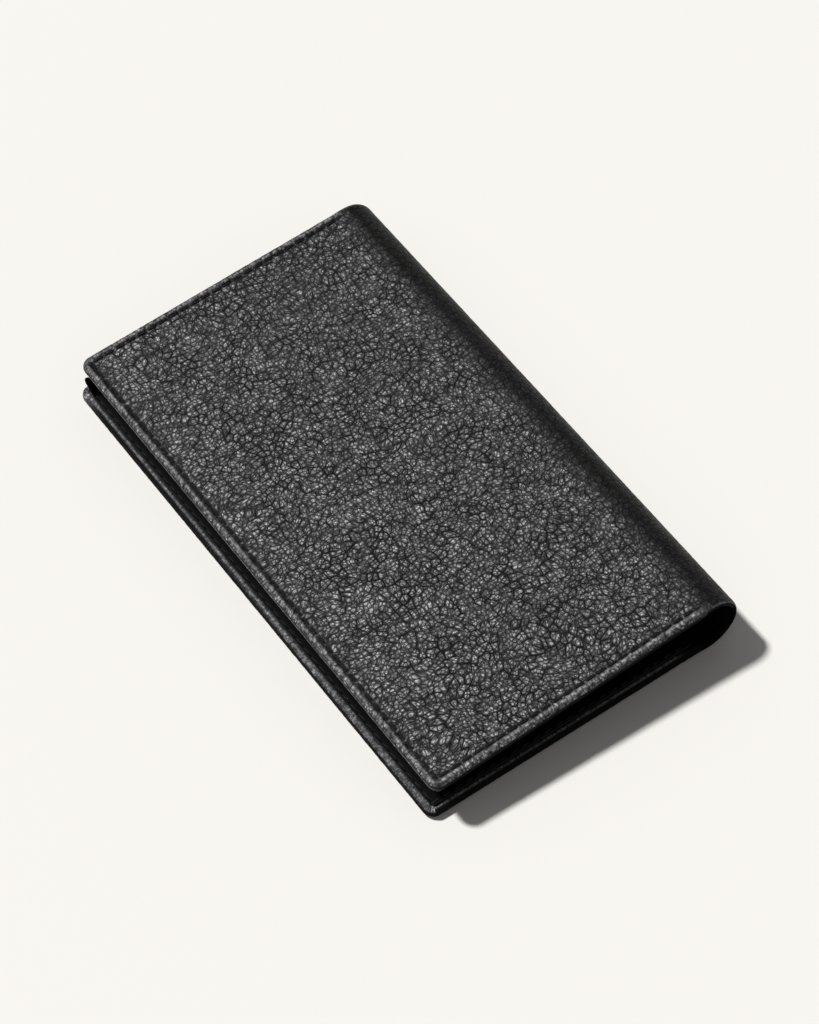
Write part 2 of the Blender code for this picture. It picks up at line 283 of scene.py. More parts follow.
def grain(x, y):
    """Height in mm: domes 1 - exp(-edge / width) on pebbles and on the wrinkles of each, each leaning its
    own way, minus bells along the creases. Where the skin is drawn up less, pebbles run together and only
    wrinkles part them, but along a long chain the crease stays deep. Open edges are rubbed flatter."""
    p, q = grain_place(x, y)
    edge, lean = cell_texture(p, q, PEBBLE)
    small_edge, small_lean = cell_texture(p, q, WRINKLE)
    chain, _ = cell_texture(p, q, CHAIN)
    patches = ease((soft_noise(x, y, DRAWN_NET, 5) - 0.3) / 0.4)
    drawn = np.maximum(LEAST_DRAWN + (1 - LEAST_DRAWN) * patches, bell(chain, CHAIN_WIDTH))
    drawn *= 1 - RUBBED + RUBBED * ease(np.minimum(*to_open_edges(x)) / RUBBED_EDGE)
    dome = 1 - np.exp(-edge / PEBBLE_ROUND)
    height = PEBBLE_DEPTH * drawn * (dome - 1) + PEBBLE_LEAN * lean * dome
    height -= CREASE_DEPTH * drawn * bell(edge, CREASE_WIDTH)
    height += WRINKLE_LEAN * small_lean - WRINKLE_DEPTH * np.exp(-small_edge / WRINKLE_ROUND)
    return height + SWELL * (soft_noise(x, y, SWELL_NET, 9) - 0.5), p, q, drawn


trial_height = grain(*TRIAL)[0]
print(f"grain from {trial_height.min():.2f} to {trial_height.max():.2f} mm")

# %% [markdown]
# ## From arrays to a mesh
#
# Every piece below is whole arrays of points and faces. One helper puts them into a mesh, closes it and
# turns its faces outwards. It also keeps what the materials ask for: where each point lies on the flat
# sheet, as a UV map, and marks from 0 to about 1, such as how much painted shade a crease gets, as
# attributes. A material that read the place in space instead would let its grain slide as the fold bends.

# %% Make one closed piece
def grid_quads(rows, columns):
    """The four-cornered faces of a net of points: each point with the next one along, across and back."""
    first = (np.arange(rows - 1)[:, None] * columns + np.arange(columns - 1)).ravel()
    return np.stack([first, first + 1, first + columns + 1, first + columns], -1)


def close_and_turn_outwards(mesh):
    """Merges points that lie in one place, and turns all faces outwards."""
    bm = bmesh.new()
    bm.from_mesh(mesh)
    bmesh.ops.remove_doubles(bm, verts=bm.verts, dist=1e-7)
    bmesh.ops.recalc_face_normals(bm, faces=bm.faces)
    bm.to_mesh(mesh)
    bm.free()


def new_piece(name, points, quads, caps=(), maps=None, marks=None):
    """A mesh object from points in mm, flat many-cornered caps and four-cornered faces. The caps come
    first, because the renderer takes a shared corner's direction from the last face that has it."""
    mesh = bpy.data.meshes.new(name)
    corners = np.concatenate([*caps, quads.ravel()]).astype(np.int32)
    counts = np.array([len(cap) for cap in caps] + [4] * len(quads), np.int32)
    mesh.vertices.add(len(points))
    mesh.vertices.foreach_set("co", (points * MM).astype(np.float32).ravel())
    mesh.loops.add(len(corners))
    mesh.loops.foreach_set("vertex_index", corners)
    mesh.polygons.add(len(counts))
    mesh.polygons.foreach_set("loop_start", (np.cumsum(counts) - counts).astype(np.int32))
    mesh.polygons.foreach_set("use_smooth", np.arange(len(counts)) >= len(caps))
    mesh.update(calc_edges=True)
    for map_name, flat in (maps or {}).items():
        layer = mesh.uv_layers.new(name=map_name)
        layer.data.foreach_set("uv", flat[corners].astype(np.float32).ravel())
    for mark_name, value in (marks or {}).items():
        mark = mesh.attributes.new(mark_name, "FLOAT", "POINT")
        mark.data.foreach_set("value", value.astype(np.float32).ravel())
    close_and_turn_outwards(mesh)
    piece = into_scene(name, mesh)
    print(f"{name}: {len(mesh.vertices)} points, {len(mesh.polygons)} faces")
    return piece


def in_pairs(u, v):
    """Two arrays as one list of flat places."""
    return np.stack(np.broadcast_arrays(u, v), -1).reshape(-1, 2)


print("a net of 4 by 5 points has", len(grid_quads(4, 5)), "faces")

# %% [markdown]
# ## The edge of a cover
#
# The leather is cut larger than the cover, skived thin and turned in round the board, so its edge is a
# soft roll and not a cut. Seen across, it goes from the face round the roll, over the back, 8 mm inwards,
# and ends under the pocket. A bevel would give the roll but not the flap, so the whole way is drawn as
# rows. Each row of points has a number m, which is its distance past the middle of the rounded corner.
# In a corner the larger m of the two directions decides, so the rows turn round the corner as rings.

# %% Rows that carry the face round the edge
CORNER = 2.4
ROLL = 1.15
FLAP = 8.0
FLAP_LEATHER, SKIN, RIM_WALL = 0.6, 0.9, 0.8
ROW_STEP = 0.3


def rim_rows():
    """For each row: m, inset from the edge, depth, outward and inward parts of its direction, and the
    length along the leather. The roll is two quarter circles, inset R(1 - sin a) and depth R(1 - cos a)."""
    a = np.radians(np.arange(0, 91, 15))
    top, under = COVER_THICKNESS, COVER_THICKNESS - FLAP_LEATHER
    sine, cosine = ROLL * (1 - np.sin(a)), ROLL * (1 - np.cos(a))
    rows = {
        "inset": [*sine, *cosine, 1.6, 2.4, 4.0, 6.0, FLAP, FLAP, 4.0, RIM_WALL, RIM_WALL],
        "depth": [*cosine, *(top - sine), top, top, top, top, top, under, under, under, SKIN],
        "outward": [*np.sin(a), *np.cos(a), 0, 0, 0, 0, 0, -1, 0, -0.7, -0.7],
        "inward": [*-np.cos(a), *np.sin(a), 1, 1, 1, 1, 1, 0, -1, -0.7, 0.7],
    }
    rows = {what: np.array(row) for what, row in rows.items()}
    steps = np.hypot(np.diff(rows["inset"]), np.diff(rows["depth"]))
    rows["length"] = CORNER - ROLL + np.concatenate([[0], np.cumsum(steps)])
    rows["m"] = CORNER - ROLL + ROW_STEP * np.arange(len(steps) + 1)
    return rows


RIM = rim_rows()
HEM_ENDS, GRAIN_ENDS, PLEATS_END = RIM["m"][[14, 15, 17]]
FAR = 200.0


def at_row(m, what):
    """The value of a rim row at m. On the face, before the roll, the inset and length go on evenly."""
    start = {"inset": CORNER + FAR, "depth": 0.0, "outward": 0.0, "inward": -1.0, "length": -FAR}[what]
    return np.interp(m, np.concatenate([[-FAR], RIM["m"]]), np.concatenate([[start], RIM[what]]))


print(len(RIM["m"]), "rows round the edge")

# %% Where the rows lie on the face
SEAM_INSET, PITCH, SEAM_END = 2.0, 2.7, 1.7
ROWS_PER_STITCH, MOST_STITCHES = 8, 40
EVEN_ROWS_ACROSS, EVEN_ROWS_ALONG = 3.3, 3.25
NEAR_EDGE = np.array([3.1, 2.9, 2.7, 2.52, 2.36, 2.22, 2.1, 2.0, 1.9, 1.78, 1.64, 1.48, 1.31])


def seam_length(width):
    """The seam's length: along one end, round a corner, along the open edge, round the other and back."""
    radius = CORNER - SEAM_INSET
    return 2 * (width - CORNER - SEAM_END) + math.pi * radius + 2 * (HALF_LENGTH - CORNER)


def seam_pitch(width):
    """The length of a stitch, so that a whole number of them fills the seam."""
    return seam_length(width) / round(seam_length(width) / PITCH)


def across_rows(width):
    """x on the face from the fold to the roll, eight rows to each stitch until 3.3 mm from the edge and
    finer from there, and the m of all rows."""
    step = seam_pitch(width) / ROWS_PER_STITCH
    inner = SEAM_END + step * np.arange(2, ROWS_PER_STITCH * MOST_STITCHES)
    x = np.concatenate([[COVER_START], inner[inner < width - EVEN_ROWS_ACROSS], width - NEAR_EDGE])
    m = np.concatenate([x - (width - CORNER), RIM["m"]])
    return np.concatenate([x, np.full(len(RIM["m"]), width - CORNER)]), m


def along_rows():
    """The same for both ends: y on the face, and the m and side of all rows."""
    step, most = seam_pitch(BACK_WIDTH) / ROWS_PER_STITCH, ROWS_PER_STITCH * MOST_STITCHES
    inner = step * np.arange(-most, most + 1)
    inner = inner[np.abs(inner) < HALF_LENGTH - EVEN_ROWS_ALONG]
    half = np.concatenate([HALF_LENGTH - NEAR_EDGE, np.full(len(RIM["m"]), HALF_LENGTH - CORNER)])
    half_m = np.concatenate([HALF_LENGTH - NEAR_EDGE - (HALF_LENGTH - CORNER), RIM["m"]])
    y = np.concatenate([-half[::-1], inner, half])
    m = np.concatenate([half_m[::-1], np.abs(inner) - (HALF_LENGTH - CORNER), half_m])
    return y, m, np.where(y < 0, -1.0, 1.0)


print("rows across and along:", len(across_rows(FRONT_WIDTH)[0]), len(along_rows()[0]))

# %% [markdown]
# ## The seam and the bead
#
# A seam runs round the three free edges, 2 mm in. Its thread pulls the leather down, so each stitch
# lies in its own short dent, and outside it a rounded bead stays up. The pull also draws small folds
# across the bead, one from each needle hole. All of it is added to the grain's height, as sums of bells.

# %% The relief near a seam
GROOVE_DEPTH, GROOVE_WIDTH, HOLE_WIDTH = 0.34, 0.33, 0.24
RAISED_AT_HOLE, RAISED_LENGTH = 0.75, 0.26
HOLLOW_DEPTH, HOLLOW_WIDTH = 0.12, 1.3
BEAD_INSET, BEAD_WIDTH, BEAD_HEIGHT = 1.0, 0.6, 0.12
FOLD_DEPTH, UNEVEN_BEAD, UNEVEN_NET = 0.1, 0.1, 0.75


def edge_relief(inset, along, pitch):
    """Height in mm, the painted shade of the seam's crease and the bead's painted highlight near the seam,
    from the inset and the length along the seam. A stitch pulls its dent down, and the leather comes up
    again between two needle holes."""
    hole = np.abs(along / pitch - np.round(along / pitch)) * pitch
    stitch = 1 - RAISED_AT_HOLE * bell(hole, RAISED_LENGTH)
    height = -GROOVE_DEPTH * bell(inset - SEAM_INSET, GROOVE_WIDTH) * stitch
    height -= HOLLOW_DEPTH * bell(inset - SEAM_INSET - 0.3, HOLLOW_WIDTH)
    height += BEAD_HEIGHT * bell(inset - 0.95, BEAD_WIDTH)
    height -= FOLD_DEPTH * bell(hole, HOLE_WIDTH) * bell(inset - BEAD_INSET, BEAD_WIDTH)
    height += UNEVEN_BEAD * (soft_noise(along, inset, UNEVEN_NET, 31) - 0.5) * bell(inset - 0.9, 0.7)
    # Painted shade along the seam's crease, weaker at the needle holes, and a painted highlight on the bead,
    # less in its small folds.
    crease = 0.97 * bell(inset - SEAM_INSET - 0.05, 0.52) * (1 - 0.6 * bell(hole, HOLE_WIDTH))
    in_fold = 0.8 * bell(hole, 0.16) * bell(inset - BEAD_INSET, 0.8)
    return height, crease, bell(inset - BEAD_INSET, BEAD_WIDTH) * (1 - in_fold)


print("stitches on the front cover:", round(seam_length(FRONT_WIDTH) / PITCH))

# %% [markdown]
# ## The leather of a cover
#
# One net of points is the whole turned piece: its face, its roll, its flap and the underside of the
# face. Modelling a plate and bevelling it would be quicker, but its corner would be hard and its grain
# would stop at the edge. Here the grain follows the leather round the roll, as on the hide. Two marks paint
# light and shade into its colour: the bead mark, a painted highlight along the rolled edge, and the crease
# mark, painted shade where it stays dark.

# %% What changes on the way to the fold
THIN_RUN = 2.35
# The mark for stretch and shade: the grain is drawn smooth near the fold, and the face is painted darker
# towards the fold across 60 mm, as painted shade.
WIDE_STRETCH_AND_SHADE, WIDE_REACH, NEAR_STRETCH_AND_SHADE, NEAR_REACH = 0.22, 60, 0.78, 7
RIM_RELIEF, SMOOTHED = 0.3, 0.72


def stretch_at(x):
    """How far the leather is drawn smooth by the fold and painted dark, as painted shade: fully there, and
    less and less across.
    """
    wide = WIDE_STRETCH_AND_SHADE * np.clip(1 - x / WIDE_REACH, 0, 1)
    return wide + NEAR_STRETCH_AND_SHADE * ease((4.2 - x) / NEAR_REACH)


def relief_left(inset, stretch):
    """How much of the grain's relief is left: little on the rolled rim and where it is drawn smooth."""
    on_face = ease((inset - 1.2) / 0.9)
    return (RIM_RELIEF + (1 - RIM_RELIEF) * on_face) * (1 - SMOOTHED * stretch)


def rim_light(inset, share):
    """The painted highlight line round the fold's ends. share goes from 0 at the back cover to 1 at the
    front one.
    """
    return (1.4 - 0.9 * share) * bell(inset + 0.2 - 0.5 * share, 0.36)


def rim_wall(depth, share):
    """How dark the fold's ends are painted inside that line, as painted shade."""
    return 0.98 * ease((depth - 0.9 + 0.45 * share) / 0.3)


def thickness_at(x):
    """The turned edge's thickness at a distance from the hinge line: full over the board, thinner on the
    way to the fold, and skived to its thinnest in the fold, where x is below zero."""
    cover = FOLD_EDGE + (COVER_THICKNESS - FOLD_EDGE) * ease((x - COVER_START) / THIN_RUN)
    return cover - (FOLD_EDGE - FOLD_MIDDLE) * ease((COVER_START - x) / (2 * COVER_START))


print("edge of a cover and of the fold:", [float(thickness_at(x).round(2)) for x in (20, -COVER_START)])

# %% The net of a cover
def cover_net(width):
    """Flat positions and directions of the net, its place and inset on the sheet, its inset from the edge,
    its length along the seam, and its row and turn round the corner."""
    x_face, mx = across_rows(width)
    y_face, my, sign = along_rows()
    x_face, y_face, sign = x_face[:, None], y_face[None, :], sign[None, :]
    a, b = np.broadcast_arrays(mx[:, None], my[None, :])
    m = np.maximum(a, b)
    rolled = m > CORNER - ROLL
    from_edge = at_row(m, "inset")
    radius = np.where(rolled, np.maximum(CORNER - from_edge, 0.4), np.maximum(m, 0))
    shift = np.where(rolled, CORNER - from_edge - radius, 0)
    past_a, past_b = np.maximum(a, 0), np.maximum(b, 0)
    reach = np.maximum(np.hypot(past_a, past_b), 1e-9)
    round_a, round_b = past_a / reach, past_b / reach
    square_a, square_b = past_a / np.maximum(m, 1e-9), past_b / np.maximum(m, 1e-9)
    round_share = ease(m / (CORNER - ROLL))
    dir_a = square_a + (round_a - square_a) * round_share
    dir_b = square_b + (round_b - square_b) * round_share
    corner_x, corner_y = width - CORNER, HALF_LENGTH - CORNER
    grown_x = (corner_x + shift - COVER_START) / (corner_x - COVER_START)
    grown_y = (corner_y + shift) / corner_y
    x = np.where(a > 0, corner_x + shift, COVER_START + (x_face - COVER_START) * grown_x)
    y = np.where(b > 0, sign * (corner_y + shift), y_face * grown_y)
    sheet = np.where(rolled, at_row(m, "length"), radius)
    sheet_x = np.where(a > 0, corner_x, x_face) + sheet * dir_a
    sheet_y = np.where(b > 0, sign * corner_y, y_face) + sign * sheet * dir_b
    outward = at_row(m, "outward")
    turn = np.arctan2(round_b, round_a)
    half = seam_length(width) / 2
    on_corner = corner_y + (CORNER - SEAM_INSET) * turn
    to_middle = np.where(b > 0, np.where(a > 0, on_corner, half - x_face + SEAM_END), np.abs(y_face))
    return {
        "x": x + radius * dir_a,
        "y": y + sign * radius * dir_b,
        "depth": at_row(m, "depth"),
        "directions": np.stack([outward * round_a, outward * round_b * sign, at_row(m, "inward")], -1),
        "sheet": (sheet_x, sheet_y),
        "inset": CORNER - np.where(m > 0, np.hypot(sheet * dir_a, sheet * dir_b), m),
        "from_edge": from_edge,
        "along": half + sign * to_middle,
        "m": m,
        "turn": turn,
    }


print("points in the front cover's net:", cover_net(FRONT_WIDTH)["x"].size)

# %% Where the edge gets painted highlight and painted shade
WALL_LINE, WALL_SOFT = 0.45, 0.3


def wall_marks(side, net, crease, bead):
    """The rim's wall is painted dark between its two rounds, as painted shade, as a product of two eased
    steps of depth. Beside the seam the bead's painted highlight gives way to painted shade. On the back
    cover its inner round shows a painted highlight line, the rest of its inner half painted shade, and a
    painted highlight near its open corner at the end where y is negative. On the front one the flap's edge
    shows a painted highlight line, and at its far end the bead's painted highlight lies further in."""
    x, y, inset, depth = (net[name] for name in ("x", "y", "inset", "depth"))
    at_end = np.sin(net["turn"]) ** 2
    at_far = at_end * (y > 0) * (side == "front")
    bead = bead * (1 - at_far + at_far * bell(inset - 1.35, 0.55))
    # Painted shade beside the seam, in place of the bead's painted highlight.
    beside_seam = (1 - at_end) * bell(inset - 1.5, 0.5)
    bead, crease = bead * (1 - 0.9 * beside_seam), np.maximum(crease, 0.75 * beside_seam)
    # Painted shade on the wall between the roll's two rounds.
    wall = ease((depth - WALL_LINE) / WALL_SOFT) * ease((COVER_THICKNESS - 0.3 - depth) / WALL_SOFT)
    wall = np.maximum(wall, 0.8 * at_far * ease((0.75 - inset) / 0.3))
    inner = depth > COVER_THICKNESS / 2
    # Back cover: a painted highlight line on the inner round, painted shade on the inner half, and a painted
    # highlight at the corner where lit is high.
    if side == "back":
        wide = ease((y + 30) / 80) * (1 - at_end)
        lit = bell(np.hypot(x - WIDTHS[side], y + HALF_LENGTH), 4.5)
        line = bell(net["from_edge"] - (1.0 - 0.05 * wide), 0.24 + 0.16 * wide)
        bead = np.where(inner, (0.78 + 0.4 * at_end) * line + 0.3 * lit, bead)
        shade = 0.95 * (1 - wide) * (1 - line) + 0.3 * wide
        crease = np.maximum(crease, inner * (1 - lit) * shade)
        wall = wall * (1 - 0.8 * lit)
    else:
        # Front cover: a painted highlight line along the flap's edge, with less painted shade on the wall
        # there.
        flap_edge = bell(depth - 1.35, 0.3) * (1 - at_end)
        wall = wall * (1 - 0.8 * flap_edge)
        bead = bead * np.where(inner, 0.6, 1 + 0.35 * np.sin(2 * net["turn"]) ** 2) + 0.75 * flap_edge
    return np.maximum(crease, 0.98 * wall), np.minimum(bead, 1.4)


print("the wall is dark from", WALL_LINE + WALL_SOFT, "mm down")

# %% The pleats at a corner
PLEATS, PLEAT_WIDTH, PLEAT_HEIGHT = (0.55, 0.85, 1.12), 0.12, 0.2


def corner_pleats(net):
    """How far the flap is gathered, which it is only in the corners, and the pleats there, as a sum of bells
    of the turn round the corner."""
    turn = net["turn"]
    gathered = ease((net["depth"] - 1.9) / 0.4) * (net["m"] < PLEATS_END)
    gathered = gathered * ease((turn - 0.25) / 0.2) * ease((1.35 - turn) / 0.2)
    return gathered, sum(bell(turn - middle, PLEAT_WIDTH) for middle in PLEATS)


print("pleats in a corner, at", [round(math.degrees(turn)) for turn in PLEATS], "degrees")


# %% The leather of one cover
LEATHER_MARKS = ("crease", "bead", "stretch", "drawn")


def new_cover(side):
    """Net plus height times direction. The height is the grain's, less where it is stretched or sewn, plus
    the seam's and the pleats'."""
    net = cover_net(WIDTHS[side])
    x, y, inset, depth = (net[name] for name in ("x", "y", "inset", "depth"))
    height, p, q, drawn = grain(*unrolled(side, *net["sheet"]))
    # Painted shade: the face is also darker towards its corner at y above zero, away from the hinge line;
    # this smooths its relief a little too.
    stretch = stretch_at(x - COVER_START) + 0.12 * ease((x - COVER_START) / 20) * ease((y - 5) / 55)
    past_border = ease((x - COVER_START) / 2.5)
    height *= relief_left(inset, stretch) * (1 - 0.8 * past_border * bell(inset - SEAM_INSET, 0.4))
    height *= net["m"] < GRAIN_ENDS
    seam_height, crease, bead = edge_relief(inset, net["along"], seam_pitch(WIDTHS[side]))
    gathered, pleats = corner_pleats(net)
    height += past_border * seam_height * (x < WIDTHS[side]) + PLEAT_HEIGHT * pleats * gathered

    # The rim's wall gets painted shade, and the edge its painted highlights.
    crease, bead = wall_marks(side, net, crease, bead)
    # A painted highlight on each pleat and painted shade between them, fainter where y is negative.
    shown = gathered * np.where(y > 0, 1.0, 0.35)
    crease = crease * (1 - gathered) + 0.9 * shown * (1 - pleats)
    bead = bead * (1 - gathered) + 1.1 * shown * pleats
    # Near the fold: painted shade on the inner half and on the fold's ends, and a painted highlight line
    # round them.
    share = {"back": 0.0, "front": 1.0}[side]
    near_fold = (depth > COVER_THICKNESS / 2) * ease((13 - x) / 8)
    rim = rim_wall(depth, share) * np.maximum(1 - past_border, near_fold)
    crease = np.maximum(crease * past_border, rim)
    bead = bead * past_border + rim_light(inset, share) * (1 - past_border)

    depth = depth * thickness_at(x) / COVER_THICKNESS
    flat = np.stack([x, y, depth], -1) + net["directions"] * height[..., None]
    points = place(side, flat[..., 0], flat[..., 1], flat[..., 2]).reshape(-1, 3)
    index = np.arange(x.size).reshape(x.shape)
    hinge_cap = index[0]
    inner_cap = np.concatenate([index[:, 0], index[-1, 1:-1], index[::-1, -1]])
    return new_piece(
        f"{side}_cover_grained_leather", points, grid_quads(*x.shape), caps=(hinge_cap, inner_cap),
        maps={"grain": in_pairs(p, q), "edge": in_pairs(net["along"], inset)},
        marks=dict(zip(LEATHER_MARKS, (crease, bead, stretch, drawn))),
    )


cover_leather = {side: new_cover(side) for side in COVERS}

# %% [markdown]
# ## The leather of the fold
#
# The real wallet has one sheet here. It has to bend at six hinges, so it is made as six lengths, each
# from the middle of one strip to the middle of the next, and each bends between two bodies. All six
# share the covers' rows and their grain, so the leather runs on without a break.

# %% Lengths of the fold
def fold_place(angle, radius, y):
    """A point on the fold: centre + radius times (sin a, -cos a), with y along the fold."""
    angle, radius, y = np.broadcast_arrays(angle, radius, y)
    ring = np.stack([radius * np.sin(angle), y, -radius * np.cos(angle)], -1)
    return FOLD_CENTRE + ring


def fold_distance(angle):
    """How far into a cover a place of the fold would be: zero at a hinge line, and negative in the fold."""
    along = angle / TURN * STRIP - COVER_START
    return -np.minimum(along, STRIPS * STRIP - along)


def fold_ends(length):
    """Where a length starts and ends on the outer line, in metres, for the bend between its two bodies."""
    return [tuple(fold_place((length + i) * TURN, FOLD_RADIUS, 0.0) * MM) for i in (-1, 0)]


FOLD_BODIES = ["back_cover", *[f"fold_{i}" for i in range(1, STRIPS + 1)], "front_cover"]
FOLD_COLUMNS = 12


def fold_angles(length):
    """The turns at which a length has its rows of points, evenly from one strip's middle to the next."""
    return np.linspace((length - 1) * TURN, length * TURN, FOLD_COLUMNS + 1)[:, None]


def new_fold_leather(length):
    """One length: face, rolled ends, flaps and underside, closed round and capped at both sides. A point is
    at the fold's radius less its depth and height. Inside the near end the hem gets a painted highlight."""
    y_face, my, sign = along_rows()
    angle = fold_angles(length)
    at_end = my > 0
    y = np.where(at_end, sign * (HALF_LENGTH - at_row(my, "inset")), y_face)[None, :]
    v = np.where(at_end, sign * (HALF_LENGTH - CORNER + at_row(my, "length")), y_face) + 0 * angle
    height, p, q, drawn = grain(angle / TURN * STRIP - COVER_START + 0 * v, v)
    inset, depth, share = HALF_LENGTH - np.abs(v), at_row(my, "depth"), angle / ((STRIPS + 1) * TURN)
    stretch = stretch_at(fold_distance(angle) - COVER_START) + 0 * p
    height *= relief_left(inset, stretch) * (my < GRAIN_ENDS)
    # Painted highlight on the hem inside the near end; painted shade on the ends' wall, with a painted
    # highlight line round them.
    hem = bell(depth - 1.8, 0.2) * (my < HEM_ENDS) * (sign < 0)
    hem = hem * ease((share - 0.55) / 0.15) * ease((1 - share) / 0.12)
    crease, bead = rim_wall(depth, share) * (1 - hem), rim_light(inset, share) + 1.2 * hem
    depth = depth * thickness_at(fold_distance(angle)) / COVER_THICKNESS
    radius = FOLD_RADIUS - depth - at_row(my, "inward") * height
    points = fold_place(angle, radius, y + at_row(my, "outward") * sign * height)
    grids = (points, p, q, crease, bead, stretch, drawn)
    points, p, q, *marks = (np.concatenate([grid, grid[:, :1]], axis=1) for grid in grids)
    index = np.arange(p.size).reshape(p.shape)
    flat = in_pairs(p, q)
    return new_piece(
        f"fold_grained_leather_{length}", points.reshape(-1, 3), grid_quads(*p.shape),
        caps=(index[0, :-1], index[-1, :-1]), maps={"grain": flat, "edge": flat},
        marks=dict(zip(LEATHER_MARKS, marks)),
    )


fold_leather = {length: new_fold_leather(length) for length in range(1, STRIPS + 2)}

# %% [markdown]
# ## Even borders
#
# Eight pieces of leather meet side by side, and each alone would shade its last row as an edge. The
# leather has no edge there, so points that lie in one place get one direction. Joining the pieces would
# do it too, but then the wallet could not open.

# %% Even the borders between the pieces of leather
def corner_arrays(mesh):
    """The point and the face of every corner, and the faces' directions, smooth areas and kinds."""
    faces = mesh.polygons
    face = np.repeat(np.arange(len(faces)), values(faces, "loop_total", kind=np.int32))
    smooth = values(faces, "use_smooth", kind=bool)
    area = values(faces, "area") * smooth
    return values(mesh.loops, "vertex_index", kind=np.int32), face, values(faces, "normal", 3), area, smooth


def even_borders(pieces):
    """Gives each place one direction of light: the sum of area times normal over the faces round it, also
    those of the next piece. Flat caps keep their own."""
    places, sums = [], []
    for piece in pieces:
        point, face, normal, area, _ = corner_arrays(piece.data)
        total = np.zeros((len(piece.data.vertices), 3))
        np.add.at(total, point, (normal * area[:, None])[face])
        places.append(np.round(values(piece.data.vertices, "co", 3) / 2e-7).astype(np.int64))
        sums.append(total)
    _, same = np.unique(np.concatenate(places), axis=0, return_inverse=True)
    same = same.ravel()
    joined = np.zeros((same.max() + 1, 3))
    np.add.at(joined, same, np.concatenate(sums))
    joined /= np.maximum(np.linalg.norm(joined, axis=1, keepdims=True), 1e-30)
    start = 0
    for piece, total in zip(pieces, sums):
        point, face, normal, _, smooth = corner_arrays(piece.data)
        shared = joined[same[start : start + len(total)]][point]
        directions = np.where(smooth[face][:, None], shared, normal[face])
        piece.data.normals_split_custom_set(directions.tolist())
        start += len(total)
    print(len(same) - len(joined), "points lie where another one does")


even_borders([*cover_leather.values(), *fold_leather.values()])

# %% Carry the leather with its bodies
def carry(piece, body, node):
    """The piece moves with the body and stands for the node."""
    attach(piece, body)
    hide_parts(node)


def carry_in_fold(lengths, node):
    """The same for the fold: each length bends from one body to the next."""
    for length, piece in lengths.items():
        start, end = fold_ends(length)
        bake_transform(piece, FOLD_BODIES[length - 1], FOLD_BODIES[length], start=start, end=end)
        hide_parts(f"{node}_{min(length, STRIPS)}")


for side, piece in cover_leather.items():
    carry(piece, f"{side}_cover", f"{side}_cover_leather")
carry_in_fold(fold_leather, "fold_leather")
print("pieces of leather carried:", len(cover_leather) + len(fold_leather))

# %% [markdown]
# ## The linings
#
# A thin cloth covers each board and runs on through the fold, under the turned ends. Like the leather
# of the fold it is made in lengths, and the whole of it lies between the leather and the turned edge. A
# cloth simulation isn't needed, because glue holds the cloth flat everywhere.

# %% A sheet with round edges and corners
LINING, LINING_INSET = 0.25, 1.1
NEAR_LINING = np.array([0.4, 1.0])


def sheet_lines(low, high, thickness, near, step):
    """Places across a sheet: five where its edge rounds off, a few close by, then about every step."""
    edge = np.concatenate([thickness / 2 * (1 - np.cos(np.radians([0, 22.5, 45, 67.5, 90]))), near])
    count = round((high - low - 2 * near[-1]) / step) + 1
    middle = np.linspace(low + near[-1], high - near[-1], count)[1:-1]
    return np.concatenate([low + edge, middle, high - edge[::-1]])


def sheet_net(x_lines, y_lines, corner):
    """Flat positions and distance from the edge. Past the centre of a corner by a and b, a point goes to
    the distance max(a, b) in the direction (a, b), so the rows turn round the corner."""
    x, y = np.meshgrid(x_lines, y_lines, indexing="ij")
    side_x = np.where(x < (x.min() + x.max()) / 2, -1, 1)
    side_y = np.where(y < (y.min() + y.max()) / 2, -1, 1)
    centre_x = np.where(side_x < 0, x.min() + corner, x.max() - corner)
    centre_y = np.where(side_y < 0, y.min() + corner, y.max() - corner)
    a, b = side_x * (x - centre_x), side_y * (y - centre_y)
    m = np.maximum(a, b)
    pull = np.where((a > 0) & (b > 0), m / np.maximum(np.hypot(a, b), 1e-9), 1)
    return centre_x + side_x * a * pull, centre_y + side_y * b * pull, corner - m


def half_thickness(inset, thickness):
    """A half circle at the edge: t/2 times sqrt(1 - (1 - 2 inset/t)^2), and t/2 further in."""
    return thickness / 2 * np.sqrt(1 - (1 - np.clip(2 * inset / thickness, 0, 1)) ** 2)


def rim_distance(side, x, y):
    """How far a place is from the nearest free edge of its cover."""
    return np.minimum(WIDTHS[side] - x, HALF_LENGTH - np.abs(y))


def no_relief(x, y, inset):
    """No extra height and no crease."""
    return 0 * x, 0 * x


def no_curl(x, y):
    """No corner that is bent away."""
    return 0.0, 0.0, 0.0


def new_sheet(name, side, lines, corner, thickness, level, relief=no_relief, curl=no_curl):
    """Both faces of a sheet in a cover's frame. level gives the height of its middle, relief what the
    inner face has more than that and the painted shade of its creases, and curl how a corner is bent
    away. It is lighter at its own edge, and worn lighter away from the cover's rim, where fingers and
    cards rub it; near the rim it is kept dark, as painted shade."""
    x, y, inset = sheet_net(*lines, corner)
    half = half_thickness(inset, thickness)
    middle = level(x, y)
    extra, crease = relief(x, y, inset)
    bend_x, bend_y, bend_z = curl(x, y)
    faces = (middle + half + extra * half / (thickness / 2), middle - half)
    points = [place(side, x + bend_x, y + bend_y, z + bend_z).reshape(-1, 3) for z in faces]
    # Lighter at the sheet's own edge, and worn lighter where cards rub, away from the cover's rim; near the
    # rim it stays dark, as painted shade.
    worn = np.maximum(0.6 * ease((0.3 - inset) / 0.2), 0.75 * ease((rim_distance(side, x, y) - 3.5) / 4))
    quads, flat = grid_quads(*x.shape), in_pairs(x, y)
    return new_piece(
        name, np.concatenate(points), np.concatenate([quads, quads[:, ::-1] + x.size]),
        maps={"flat_sheet": np.concatenate([flat, flat])},
        marks={"crease": np.stack([crease, 0 * crease]), "worn": np.stack([worn, worn])},
    )


print("places across a lining's edge:", sheet_lines(0, 10, LINING, NEAR_LINING, 1.0)[:6].round(3))

